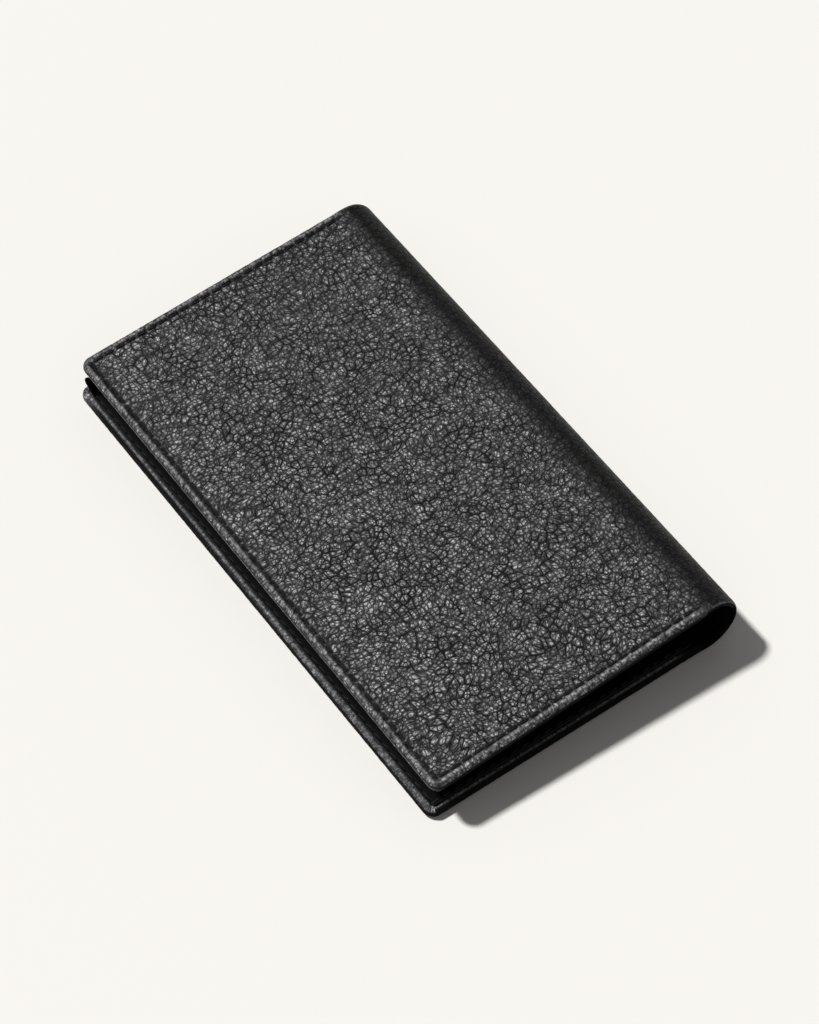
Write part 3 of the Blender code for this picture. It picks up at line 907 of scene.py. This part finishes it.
# %% The linings of the covers and of the fold
LINING_REACH, LINING_DEPTH, BOARD_STEP = HALF_LENGTH - LINING_INSET, 1.125, 0.6
LINING_LINES = sheet_lines(-LINING_REACH, LINING_REACH, LINING, NEAR_LINING, 1.2)
LINING_CORNER = 2.4


def lining_level(x, y):
    """The middle of the cloth: on the board, and lower where the board ends near the fold."""
    return LINING_DEPTH + BOARD_STEP * ease((x - COVER_START) / THIN_RUN) + 0 * y


def new_cover_lining(side):
    """A sheet from the hinge line to 1.1 mm short of the three edges."""
    x = sheet_lines(COVER_START, WIDTHS[side] - LINING_INSET, LINING, NEAR_LINING, 1.0)
    lines = (x, LINING_LINES)
    return new_sheet(f"{side}_lining_cloth", side, lines, LINING_CORNER, LINING, lining_level)


def new_fold_lining(length):
    """A closed strip of cloth: along the inner face, round the end and back along the outer one."""
    half = half_thickness(LINING_REACH - np.abs(LINING_LINES), LINING)
    half = np.concatenate([half, -half[-2::-1]])
    y = np.concatenate([LINING_LINES, LINING_LINES[-2::-1]])
    angle = fold_angles(length)
    depth = LINING_DEPTH * thickness_at(fold_distance(angle)) / FOLD_EDGE
    points = fold_place(angle, FOLD_RADIUS - depth - half, y)
    rows, columns = points.shape[:2]
    index = np.arange(rows * columns).reshape(rows, columns)
    flat = in_pairs(angle / TURN * STRIP, y[None, :])
    return new_piece(
        f"fold_lining_cloth_{length}", points.reshape(-1, 3), grid_quads(rows, columns),
        caps=(index[0, :-1], index[-1, :-1]), maps={"flat_sheet": flat},
    )


cover_lining = {side: new_cover_lining(side) for side in COVERS}
fold_lining = {length: new_fold_lining(length) for length in range(1, STRIPS + 2)}
for side, piece in cover_lining.items():
    carry(piece, f"{side}_cover", f"{side}_cover_lining")
carry_in_fold(fold_lining, "fold_lining")

# %% [markdown]
# ## Pockets and card slots
#
# The slip pocket is a panel sewn in with the edge seam. On it lie three card slots, one over the other,
# each with its mouth a step lower than the one under it. Stacked flat plates would be simpler, but cards
# have left these sheets a little swollen, so all of them follow one soft level, and no layer cuts into
# another one.

# %% The level of the inside
PANEL_LEATHER, PANEL_GAP, PANEL_INSET = 0.55, 0.1, 1.4
PANEL_STEP = PANEL_LEATHER + PANEL_GAP
PANEL_START = {"back": 4.5, "front": 2.3}
MOUTH = {"back": -1, "front": 1}
SLOT_MOUTHS = (35.5, 22.5, 9.5)
SLOT_CLOSED = 58.5
SLOT_WIDE, SLOT_MARGIN = 58.0, 5.0
SAG, CARD_SWELL, CARD_NET = 0.2, 0.24, 17
MOUTH_LINE, LINE_DEPTH, LINE_WIDTH = 1.6, 0.1, 0.16


def inside_level(side, layer):
    """The middle of a layer: flat at the rim, a little lower past the turned edge, and swollen in the
    middle by the cards that it has held."""

    def level(x, y):
        rim = rim_distance(side, x, y)
        sag = -SAG * ease((rim - 6.8) / 2.2)
        uneven = 0.6 + 0.8 * soft_noise(x, y, CARD_NET, 21)
        swell = CARD_SWELL * ease((rim - 6) / 16) * ease((x - 6) / 14) * uneven
        return COVER_THICKNESS + PANEL_GAP + PANEL_LEATHER / 2 + layer * PANEL_STEP + sag + swell

    return level


def pocket_relief(to_mouth, to_seam):
    """A line pressed 1.6 mm from the mouth and a groove along the seam, each as a bell of its distance, and
    painted shade in both.
    """

    def relief(x, y, inset):
        line, seam = bell(to_mouth(x, y) - MOUTH_LINE, LINE_WIDTH), to_seam(x, y)
        height = -LINE_DEPTH * line + 0.03 * (soft_noise(x, y, 5.0, 22) - 0.5) - 0.1 * bell(seam, 0.3)
        return height, np.maximum(0.8 * line, 0.5 * bell(seam, 0.25))

    return relief


NEAR_MOUTH = np.array([0.45, 0.7, 0.9, 1.1, 1.3, 1.42, 1.52, 1.6, 1.68, 1.78, 1.95, 2.3, 2.8])
PANEL_ROWS, POCKET_CORNER, SLOT_CORNER = 0.8, 1.0, 1.5
print("height of the top slot's middle:", inside_level("front", 3)(35.0, 0.0).round(2))

# %% The slip pockets
LOOSE_CORNER = {"back": (-1, (0.5, 0.2, 3.8)), "front": (1, (0.4, 0.2, 0.7))}


def new_slip_pocket(side):
    """A sheet from the fold's side to 1.4 mm short of the three edges, with one loose corner."""
    width = WIDTHS[side]
    reach = HALF_LENGTH - PANEL_INSET
    x = sheet_lines(PANEL_START[side], width - PANEL_INSET, PANEL_LEATHER, NEAR_MOUTH, PANEL_ROWS)
    y = sheet_lines(-reach, reach, PANEL_LEATHER, NEAR_MOUTH, PANEL_ROWS)
    far_side, bend = LOOSE_CORNER[side]

    def to_mouth(x, y):
        """How far a place is from the side that is open, next to the fold."""
        return x - PANEL_START[side]

    def to_seam(x, y):
        """How far a place is from the edge seam's line."""
        return rim_distance(side, x, y) - SEAM_INSET

    def loose_corner(x, y):
        """The far corner has worked out of its seam, most in the back cover. It is eased up towards the tip
        from 5 mm away along the end and from 3.5 mm along the open edge, as the product of the two."""
        w = ease((x - width + 6.5) / 5.1) * ease((far_side * y - HALF_LENGTH + 4.9) / 3.5)
        return bend[0] * w, far_side * bend[1] * w, bend[2] * w

    return new_sheet(
        f"{side}_slip_pocket_leather", side, (x, y), POCKET_CORNER, PANEL_LEATHER,
        inside_level(side, 0), pocket_relief(to_mouth, to_seam), loose_corner,
    )


slip_pockets = {side: new_slip_pocket(side) for side in COVERS}
for side, piece in slip_pockets.items():
    carry(piece, f"{side}_cover", f"{side}_slip_pocket")

# %% The card slots
SLOT_SEAM = 1.4


def slot_sides(side):
    """Where a card slot starts and ends, across the cover."""
    return WIDTHS[side] - SLOT_MARGIN - SLOT_WIDE, WIDTHS[side] - SLOT_MARGIN


def new_card_slot(side, number):
    """A sheet from its mouth to its closed end, one layer higher than the one before."""
    low, high = slot_sides(side)
    mouth, end = MOUTH[side], SLOT_MOUTHS[number - 1]
    x = sheet_lines(low, high, PANEL_LEATHER, NEAR_MOUTH, PANEL_ROWS)
    y = sheet_lines(*sorted((-SLOT_CLOSED * mouth, end * mouth)), PANEL_LEATHER, NEAR_MOUTH, PANEL_ROWS)

    def to_mouth(x, y):
        """How far a place is from the end that cards go in at."""
        return end - y * mouth

    def to_seam(x, y):
        """How far a place is from the slot's own seam, on its other three sides."""
        return np.minimum(np.minimum(x - low, high - x), y * mouth + SLOT_CLOSED) - SLOT_SEAM

    return new_sheet(
        f"{side}_card_slot_leather_{number}", side, (x, y), SLOT_CORNER, PANEL_LEATHER,
        inside_level(side, number), pocket_relief(to_mouth, to_seam),
    )


card_slots = {(side, number): new_card_slot(side, number) for side in COVERS for number in (1, 2, 3)}
for (side, number), piece in card_slots.items():
    carry(piece, f"{side}_cover", f"{side}_card_slot_{number}")

# %% [markdown]
# ## The stitches
#
# A lockstitch shows as a row of short threads, each from one needle hole to the next. A tube along the
# whole seam would be quicker, but it would look like a cord. Every stitch here is its own small tube
# that dives into its holes and lies a little slanted.

# %% Stitches along a path
THREAD = 0.36
THREAD_RINGS = np.array([-1, -0.94, -0.75, -0.4, 0, 0.4, 0.75, 0.94, 1])
RING_TURNS = np.radians(60 * np.arange(7))
SLANT, DIVE, STITCH_SHARE = math.radians(5), 0.34, 0.44


def path_at(corners, along):
    """Points and directions at lengths along straight runs between corners."""
    corners = np.asarray(corners, float)
    length = np.concatenate([[0], np.cumsum(np.linalg.norm(np.diff(corners, axis=0), axis=1))])

    def at(t):
        """Each of x, y and z, read off between the two nearest corners."""
        return np.stack([np.interp(t, length, corners[:, k]) for k in range(3)], -1)

    ahead = at(along + 0.2) - at(along - 0.2)
    return at(along), ahead / np.linalg.norm(ahead, axis=1, keepdims=True), length[-1]


def no_level(x, y):
    """Flat, as the outside is."""
    return 0.0


def new_stitches(name, side, corners, up, level=no_level):
    """A tube per stitch: rings of six points, with radius and height falling off as s^4 towards the ends
    at s = -1 and 1. up is 1 where the thread shows on the inside and -1 on the outside."""
    total = path_at(corners, np.array([0.0]))[2]
    count = round(total / PITCH)
    pitch = total / count
    middle, ahead, _ = path_at(corners, (np.arange(count) + 0.5) * pitch)
    beside = np.cross(np.array([0, 0, 1.0]), ahead)
    beside /= np.linalg.norm(beside, axis=1, keepdims=True)
    across = beside * math.cos(SLANT) - ahead * math.sin(SLANT)
    ahead = ahead * math.cos(SLANT) + beside * math.sin(SLANT)
    s, turn = THREAD_RINGS[None, :, None, None], RING_TURNS[None, None, :, None]
    radius = THREAD / 2 * np.sqrt(np.clip(1 - s**8, 0, 1))
    ahead, across, middle = (part[:, None, None, :] for part in (ahead, across, middle))
    points = middle + ahead * s * (pitch * STITCH_SHARE) + across * 1.1 * radius * np.cos(turn)
    points = points + np.array([0, 0, up]) * (radius * np.sin(turn) - DIVE * s**4)
    points[..., 2] += level(points[..., 0], points[..., 1])
    _, rings, around, _ = points.shape
    quads = grid_quads(rings, around)[None] + (np.arange(count) * rings * around)[:, None, None]
    x, y, z = (points[..., k].reshape(-1) for k in range(3))
    flat = in_pairs(*np.broadcast_arrays(s[..., 0] * pitch * STITCH_SHARE, turn[..., 0], points[..., 0])[:2])
    return new_piece(name, place(side, x, y, z), quads.reshape(-1, 4), maps={"flat_sheet": flat})


def edge_seam(width, z, start):
    """The seam's corners round the three free edges, from the fold's one end to its other."""
    radius, turns = CORNER - SEAM_INSET, np.radians(np.arange(0, 91, 6))
    corner_x, corner_y = width - CORNER, HALF_LENGTH - CORNER
    arc = [(corner_x + radius * math.cos(t), corner_y + radius * math.sin(t), z) for t in turns]
    near = [(x, -y, z) for x, y, z in arc[::-1]]
    return [(start, -(HALF_LENGTH - SEAM_INSET), z), *near, *arc, (start, HALF_LENGTH - SEAM_INSET, z)]


print("corners on the way of an edge seam:", len(edge_seam(FRONT_WIDTH, 0, SEAM_END)))

# %% Sew the seams
STOP_SEAMS = ((1, -31.1), (2, -44.1))
THREAD_TOP, SEAM_DEPTH = PANEL_LEATHER / 2, 0.3


def slot_seam(side):
    """The seam round the card slots: down the open side of the stack, a step higher past each mouth, and
    back up on the other side."""
    low, high = slot_sides(side)
    first, second, third = SLOT_MOUTHS
    run = [(first - SLOT_SEAM, 1), (second + 1.2, 1), (second + 0.2, 2)]
    run += [(third + 1.2, 2), (third + 0.2, 3), (-SLOT_CLOSED + SLOT_SEAM, 3)]
    run = [(y * MOUTH[side], layer * PANEL_STEP + THREAD_TOP + 0.04) for y, layer in run]
    return [(low + SLOT_SEAM, y, z) for y, z in run] + [(high - SLOT_SEAM, y, z) for y, z in run[::-1]]


stitches = []
for side in COVERS:
    width, level = WIDTHS[side], inside_level(side, 0)
    outside = edge_seam(width, SEAM_DEPTH, SEAM_END)
    inside = edge_seam(width, THREAD_TOP + 0.02, PANEL_START[side] + 2)
    sewn = {
        "edge_seam_outside": ("edge_stitches_outside", outside, -1, no_level),
        "edge_seam_inside": ("edge_stitches_inside", inside, 1, level),
        "card_slot_seam": ("card_slot_stitches", slot_seam(side), 1, level),
    }
    low, high = slot_sides(side)
    for number, y in STOP_SEAMS:
        z = number * PANEL_STEP + THREAD_TOP - 0.18
        run = [(x, y * MOUTH[side], z) for x in (low + SLOT_SEAM + 0.3, high - SLOT_SEAM - 0.3)]
        sewn[f"stop_seam_{number}"] = (f"stop_stitches_{number}", run, 1, level)
    for seam, (name, path, up, seam_level) in sewn.items():
        piece = new_stitches(f"{side}_{name}", side, path, up, seam_level)
        carry(piece, f"{side}_cover", f"{side}_{seam}")
        stitches.append(piece)

# %% [markdown]
# ## Materials
#
# Black leather is dark in itself. What one sees of it is mostly the gloss on the tops of the pebbles,
# and the creases stay dark and dull. One even black with a bump would look like plastic. So the
# leather's colour, gloss and finest relief all follow the same cells as its shape, and the colour is
# painted lighter on the tops, as a painted highlight, and darker in the creases, as painted shade.

# %% A short way to write materials
class Finish:
    """A material, and a short way to add nodes to it. An input is a value, or an output of another node."""

    def __init__(self, name, colour, roughness, **fixed):
        self.material = bpy.data.materials.new(name)
        self.material.use_nodes = True
        self.tree = self.material.node_tree
        self.shader = self.tree.nodes["Principled BSDF"]
        self.feed(self.shader, {"Base Color": (*colour, 1), "Roughness": roughness, **fixed})

    def feed(self, node, inputs):
        """Sets the node's inputs, or links them where they come from another node."""
        for key, value in inputs.items():
            if isinstance(value, bpy.types.NodeSocket):
                self.tree.links.new(value, node.inputs[key])
            else:
                node.inputs[key].default_value = value

    def add(self, kind, inputs, **settings):
        """A new node with its settings and inputs."""
        node = self.tree.nodes.new("ShaderNode" + kind)
        for key, value in settings.items():
            setattr(node, key, value)
        self.feed(node, inputs)
        return node

    def math(self, operation, *parts):
        """One step of arithmetic."""
        return self.add("Math", dict(enumerate(parts)), operation=operation).outputs[0]

    def times(self, first, *others):
        """first times each of the others."""
        for other in others:
            first = self.math("MULTIPLY", first, other)
        return first

    def scaled(self, value, factor, plus):
        """value times factor, plus what is added."""
        return self.math("MULTIPLY_ADD", value, factor, plus)

    def rest(self, value):
        """What is left of 1."""
        return self.math("SUBTRACT", 1.0, value)

    def ramp(self, value, low, high, start, end):
        """start where the value is low, end where it is high, and eased between."""
        inputs = {"Value": value, "From Min": low, "From Max": high, "To Min": start, "To Max": end}
        return self.add("MapRange", inputs, interpolation_type="SMOOTHSTEP").outputs[0]

    def flat(self, name):
        """Where a point lies on its flat sheet."""
        return self.add("UVMap", {}, uv_map=name).outputs[0]

    def marks(self, *names):
        """The marks with these names, as outputs."""
        return [self.add("Attribute", {}, attribute_name=name).outputs["Fac"] for name in names]

    def noise(self, where, scale, detail, **more):
        """Cloudy random values, for places on the flat sheet."""
        inputs = {"Vector": where, "Scale": scale, "Detail": detail, **more}
        return self.add("TexNoise", inputs, noise_dimensions="2D").outputs[0]

    def done(self, light, dark, pale, height, **more):
        """Colour from dark to pale as light goes from 0 to 1, and a bump with its height in mm."""
        colour = self.add("Mix", {0: light, 6: (*dark, 1), 7: (*pale, 1)}, data_type="RGBA").outputs[2]
        bump = self.add("Bump", {"Height": height, "Distance": MM}).outputs[0]
        self.feed(self.shader, {"Base Color": colour, "Normal": bump, **more})
        print(self.material.name, "has", len(self.tree.nodes), "nodes")
        return self.material


print("a finish has", ", ".join(way for way in vars(Finish) if not way.startswith("_")))

# %% [markdown]
# ## The grained leather
#
# Dye lies evenly, but the tops are painted lighter, as a painted highlight, and the creases darker, as
# painted shade. The material asks the cell texture for the same pebbles and wrinkles as the relief, and
# adds hair lines too fine for the mesh. The marks then take their share: less of the tops where the
# leather is stretched and painted darker as shade, a painted highlight along the bead, and painted shade
# in the seam and on the rim's wall.

# %% Grained leather
PEBBLE_LINE, WRINKLE_LINE, HAIR, HAIR_LINE = 0.36, 0.22, 0.45, 0.13


def new_grained_leather():
    """Tops, as rounded cells times noise, are a painted highlight, taken to the power 2, which spreads their
    tones. Creases, as the highest of three nets of lines, take light, gloss and height away, as painted
    shade."""
    finish = Finish("grained_leather_black", (0.03, 0.03, 0.031), 0.42)
    times, scaled, ramp, rest = finish.times, finish.scaled, finish.ramp, finish.rest
    flat, edge = finish.flat("grain"), finish.flat("edge")
    seam, bead, stretch, drawn = finish.marks(*LEATHER_MARKS)

    def cells(size, feature, output):
        """The cell texture at the place on the flat sheet, as for the relief."""
        inputs = {"Vector": flat, "Scale": 1 / size, "Randomness": UNEVEN}
        texture = finish.add("TexVoronoi", inputs, voronoi_dimensions="2D", feature=feature)
        return texture.outputs[output]

    def crease_line(size, width):
        """1 in the creases between cells, eased to 0 where a crease ends."""
        return ramp(cells(size, "DISTANCE_TO_EDGE", "Distance"), 0, width / size, 1, 0)

    def round_top(size):
        """1 in the middle of a cell, eased to 0 towards its border."""
        return ramp(cells(size, "F1", "Distance"), 0.08, 0.62, 1, 0)

    own = finish.add("SeparateColor", {"Color": cells(PEBBLE, "F1", "Color")}).outputs["Red"]
    pebble_line = times(crease_line(PEBBLE, PEBBLE_LINE), scaled(drawn, 0.55, 0.4))
    wrinkle_line = times(crease_line(WRINKLE, WRINKLE_LINE), 0.72)
    hair_line = times(crease_line(HAIR, HAIR_LINE), 0.5)
    lines = finish.math("MAXIMUM", finish.math("MAXIMUM", pebble_line, wrinkle_line), hair_line)
    relief = times(lines, scaled(rest(bead), 0.8, 0.2), scaled(stretch, -0.55, 1.05))
    pores = finish.noise(flat, 2.9, 4, Distortion=0.5)
    along_edge = finish.add("Mapping", {"Vector": edge, "Scale": (1.9, 0.45, 1)}).outputs[0]
    folds = finish.noise(along_edge, 1.0, 3, Distortion=0.5)

    # Painted highlight: lighter in the middle of each pebble and wrinkle, darker where the mark for stretch
    # and shade paints shade, and less on the bead.
    tops = scaled(round_top(WRINKLE), 0.4, scaled(round_top(PEBBLE), 0.34, 0.31))
    tops = times(tops, scaled(ramp(pores, 0.32, 0.66, 0, 1), 0.7, 0.6), scaled(own, 0.45, 0.73))
    tops = times(tops, scaled(stretch, -0.95, 1.13), scaled(bead, -0.8, 1.0))
    # The bead's painted highlight, uneven along the edge.
    painted_light_and_wear = scaled(ramp(folds, 0.36, 0.66, 0, 1), 0.6, 0.25)
    # Painted shade in the creases and wherever the crease mark lies.
    dull_and_shaded = finish.math("MAXIMUM", relief, seam)
    tone = times(scaled(bead, painted_light_and_wear, tops), rest(dull_and_shaded))
    light = times(finish.math("POWER", tone, 2.0), 0.86)
    height = scaled(relief, -0.13, times(pores, 0.16))
    height = scaled(times(bead, folds), 0.3, height)
    rough = scaled(dull_and_shaded, 0.3, scaled(own, 0.1, 0.36))
    shine = {"Specular IOR Level": times(scaled(dull_and_shaded, -0.55, 0.6), scaled(stretch, -0.8, 1.05))}
    return finish.done(light, (0.004, 0.004, 0.004), (0.6, 0.6, 0.61), height, Roughness=rough, **shine)


leather = new_grained_leather()
for piece in [*cover_leather.values(), *fold_leather.values()]:
    piece.data.materials.append(leather)

# %% [markdown]
# ## Smooth leather, cloth, thread and board
#
# The pockets are of thin polished leather, worn grey where cards rub it, and painted dark near the
# cover's rim and in their creases, as painted shade. The lining is a plain weave, and the thread is two
# strands laid round each other. Both could be real threads in the mesh, but they are finer than a pixel
# here, so a pattern on their own flat places is enough. The board is pressed from leather fibres, and
# has no flat places of its own, so it reads the object's.

# %% Smooth leather
def new_smooth_leather():
    """Worn patches, as eased noise times the mark for wear and shade, which keeps the cover's rim dark as
    painted shade, over almost black leather with fine pores. Creases are painted dark, as painted shade.
    """
    finish = Finish("smooth_leather_black", (0.004, 0.004, 0.004), 0.6, **{"Specular IOR Level": 0.06})
    flat = finish.flat("flat_sheet")
    crease, worn = finish.marks("crease", "worn")
    cloud = finish.noise(flat, 0.12, 3)
    pore_cells = finish.add("TexVoronoi", {"Vector": flat, "Scale": 3.2}, voronoi_dimensions="2D")
    # Wear where cards rub, and painted shade near the rim and in the creases.
    painted_light_and_wear = finish.times(finish.ramp(cloud, 0.4, 0.75, 0.75, 1), finish.math("MAXIMUM", worn, 0.03))
    light, rough = finish.times(painted_light_and_wear, finish.rest(crease)), finish.scaled(cloud, -0.3, 0.75)
    height = finish.times(pore_cells.outputs["Distance"], 0.03)
    return finish.done(light, (0.0015, 0.0015, 0.0015), (0.02, 0.02, 0.0205), height, Roughness=rough)


smooth_leather = new_smooth_leather()

# %% Lining cloth
WEAVE = 0.4


def new_lining_cloth():
    """A plain weave: threads 0.4 mm apart, each as a sine wave, over in one square and under in the next."""
    fixed = {"Sheen Weight": 0.05, "Specular IOR Level": 0.15}
    finish = Finish("lining_cloth_black", (0.02, 0.02, 0.022), 0.85, **fixed)
    flat = finish.flat("flat_sheet")
    split = finish.add("SeparateXYZ", {"Vector": flat}).outputs
    weave = finish.times(*[finish.math("SINE", finish.times(split[k], math.pi / WEAVE)) for k in (0, 1)])
    light = finish.scaled(weave, 0.25, finish.times(finish.noise(flat, 0.9, 2), 0.9))
    return finish.done(light, (0.004, 0.004, 0.0045), (0.026, 0.026, 0.028), finish.times(weave, 0.05))


lining_cloth = new_lining_cloth()

# %% Thread
LAY = 0.5


def new_thread():
    """Two strands laid round each other: dark lines where along / 0.5 mm + the turn is a whole number."""
    finish = Finish("thread_black", (0.006, 0.006, 0.006), 0.5, **{"Specular IOR Level": 0.2})
    split = finish.add("SeparateXYZ", {"Vector": finish.flat("flat_sheet")}).outputs
    lay = finish.math("SINE", finish.scaled(split[0], 2 * math.pi / LAY, split[1]))
    strand = finish.scaled(lay, 0.5, 0.5)
    rough, height = finish.scaled(strand, -0.2, 0.65), finish.times(strand, 0.06)
    return finish.done(strand, (0.003, 0.003, 0.003), (0.012, 0.012, 0.013), height, Roughness=rough)


thread = new_thread()

# %% Board
def new_board():
    """Fibres as noise that is bent by itself."""
    finish = Finish("bonded_board", (0.16, 0.13, 0.1), 0.9)
    where = finish.add("TexCoord", {}).outputs["Object"]
    inputs = {"Vector": where, "Scale": 900.0, "Detail": 4, "Distortion": 1.2}
    fibres = finish.add("TexNoise", inputs).outputs[0]
    return finish.done(fibres, (0.08, 0.06, 0.045), (0.24, 0.2, 0.15), finish.times(fibres, 0.08))


board = new_board()

# %% Give the pieces their materials
for material, pieces in (
    (smooth_leather, [*slip_pockets.values(), *card_slots.values()]),
    (lining_cloth, [*cover_lining.values(), *fold_lining.values()]),
    (thread, stitches),
):
    for piece in pieces:
        piece.data.materials.append(material)
for side in COVERS:
    solid = bpy.data.objects[f"{side}_cover_board"]
    print(solid.name, "had", [slot.material.name for slot in solid.material_slots])
    solid.material_slots[0].material = board

# %% [markdown]
# ## Floor, light and camera
#
# The wallet lies on a pale matt table. One sun lamp, six degrees wide, gives its soft shadow, and light
# from all round keeps the shadow grey. An area lamp would do too, but a sun lamp shines at one angle
# everywhere. The camera looks down from the open side and the near end through a long lens, so the edges
# run almost parallel.

# %% Floor and light
floor_mesh = bpy.data.meshes.new("floor")
floor_mesh.from_pydata([(-3, -3, 0), (3, -3, 0), (3, 3, 0), (-3, 3, 0)], [], [(0, 1, 2, 3)])
floor = into_scene("floor", floor_mesh)
floor_mesh.materials.append(Finish("pale_floor", (0.89, 0.868, 0.827), 0.9).material)

TO_LIGHT = Vector((-0.3428, 0.4687, 0.8141))
LAMP_STRENGTH, LAMP_ANGLE, SKY_STRENGTH = 3.45, math.radians(6), 0.17
lamp = bpy.data.lights.new("key_light", "SUN")
lamp.energy = LAMP_STRENGTH
lamp.angle = LAMP_ANGLE
key = into_scene("key_light", lamp)
key.rotation_euler = TO_LIGHT.to_track_quat("Z", "Y").to_euler()

world = bpy.data.worlds.new("studio")
bpy.context.scene.world = world
world.use_nodes = True
world.node_tree.nodes["Background"].inputs["Color"].default_value = (1, 1, 1, 1)
world.node_tree.nodes["Background"].inputs["Strength"].default_value = SKY_STRENGTH
print("the lamp stands", round(math.degrees(math.asin(TO_LIGHT.z))), "degrees high")

# %% Camera
AZIMUTH, ELEVATION, DISTANCE = math.radians(-35.573), math.radians(54.866), 0.6477
TARGET = np.array([-0.34, -4.39, 5.08]) * MM
LENS, SENSOR = 111.59, 36
level_x, level_y = math.sin(AZIMUTH) * math.cos(ELEVATION), -math.cos(AZIMUTH) * math.cos(ELEVATION)
to_camera = np.array([level_x, level_y, math.sin(ELEVATION)])
camera = into_scene("camera", bpy.data.cameras.new("camera"))
camera.location = TARGET + to_camera * DISTANCE
camera.rotation_euler = Vector(to_camera).to_track_quat("Z", "Y").to_euler()
camera.data.lens = LENS
camera.data.sensor_width = SENSOR
camera.data.clip_start = 0.01
bpy.context.scene.camera = camera
bpy.context.scene.view_settings.view_transform = "Standard"
print("camera at", [round(value, 3) for value in camera.location])

# %% Bring the scene up to date at the end
bpy.context.view_layer.update()
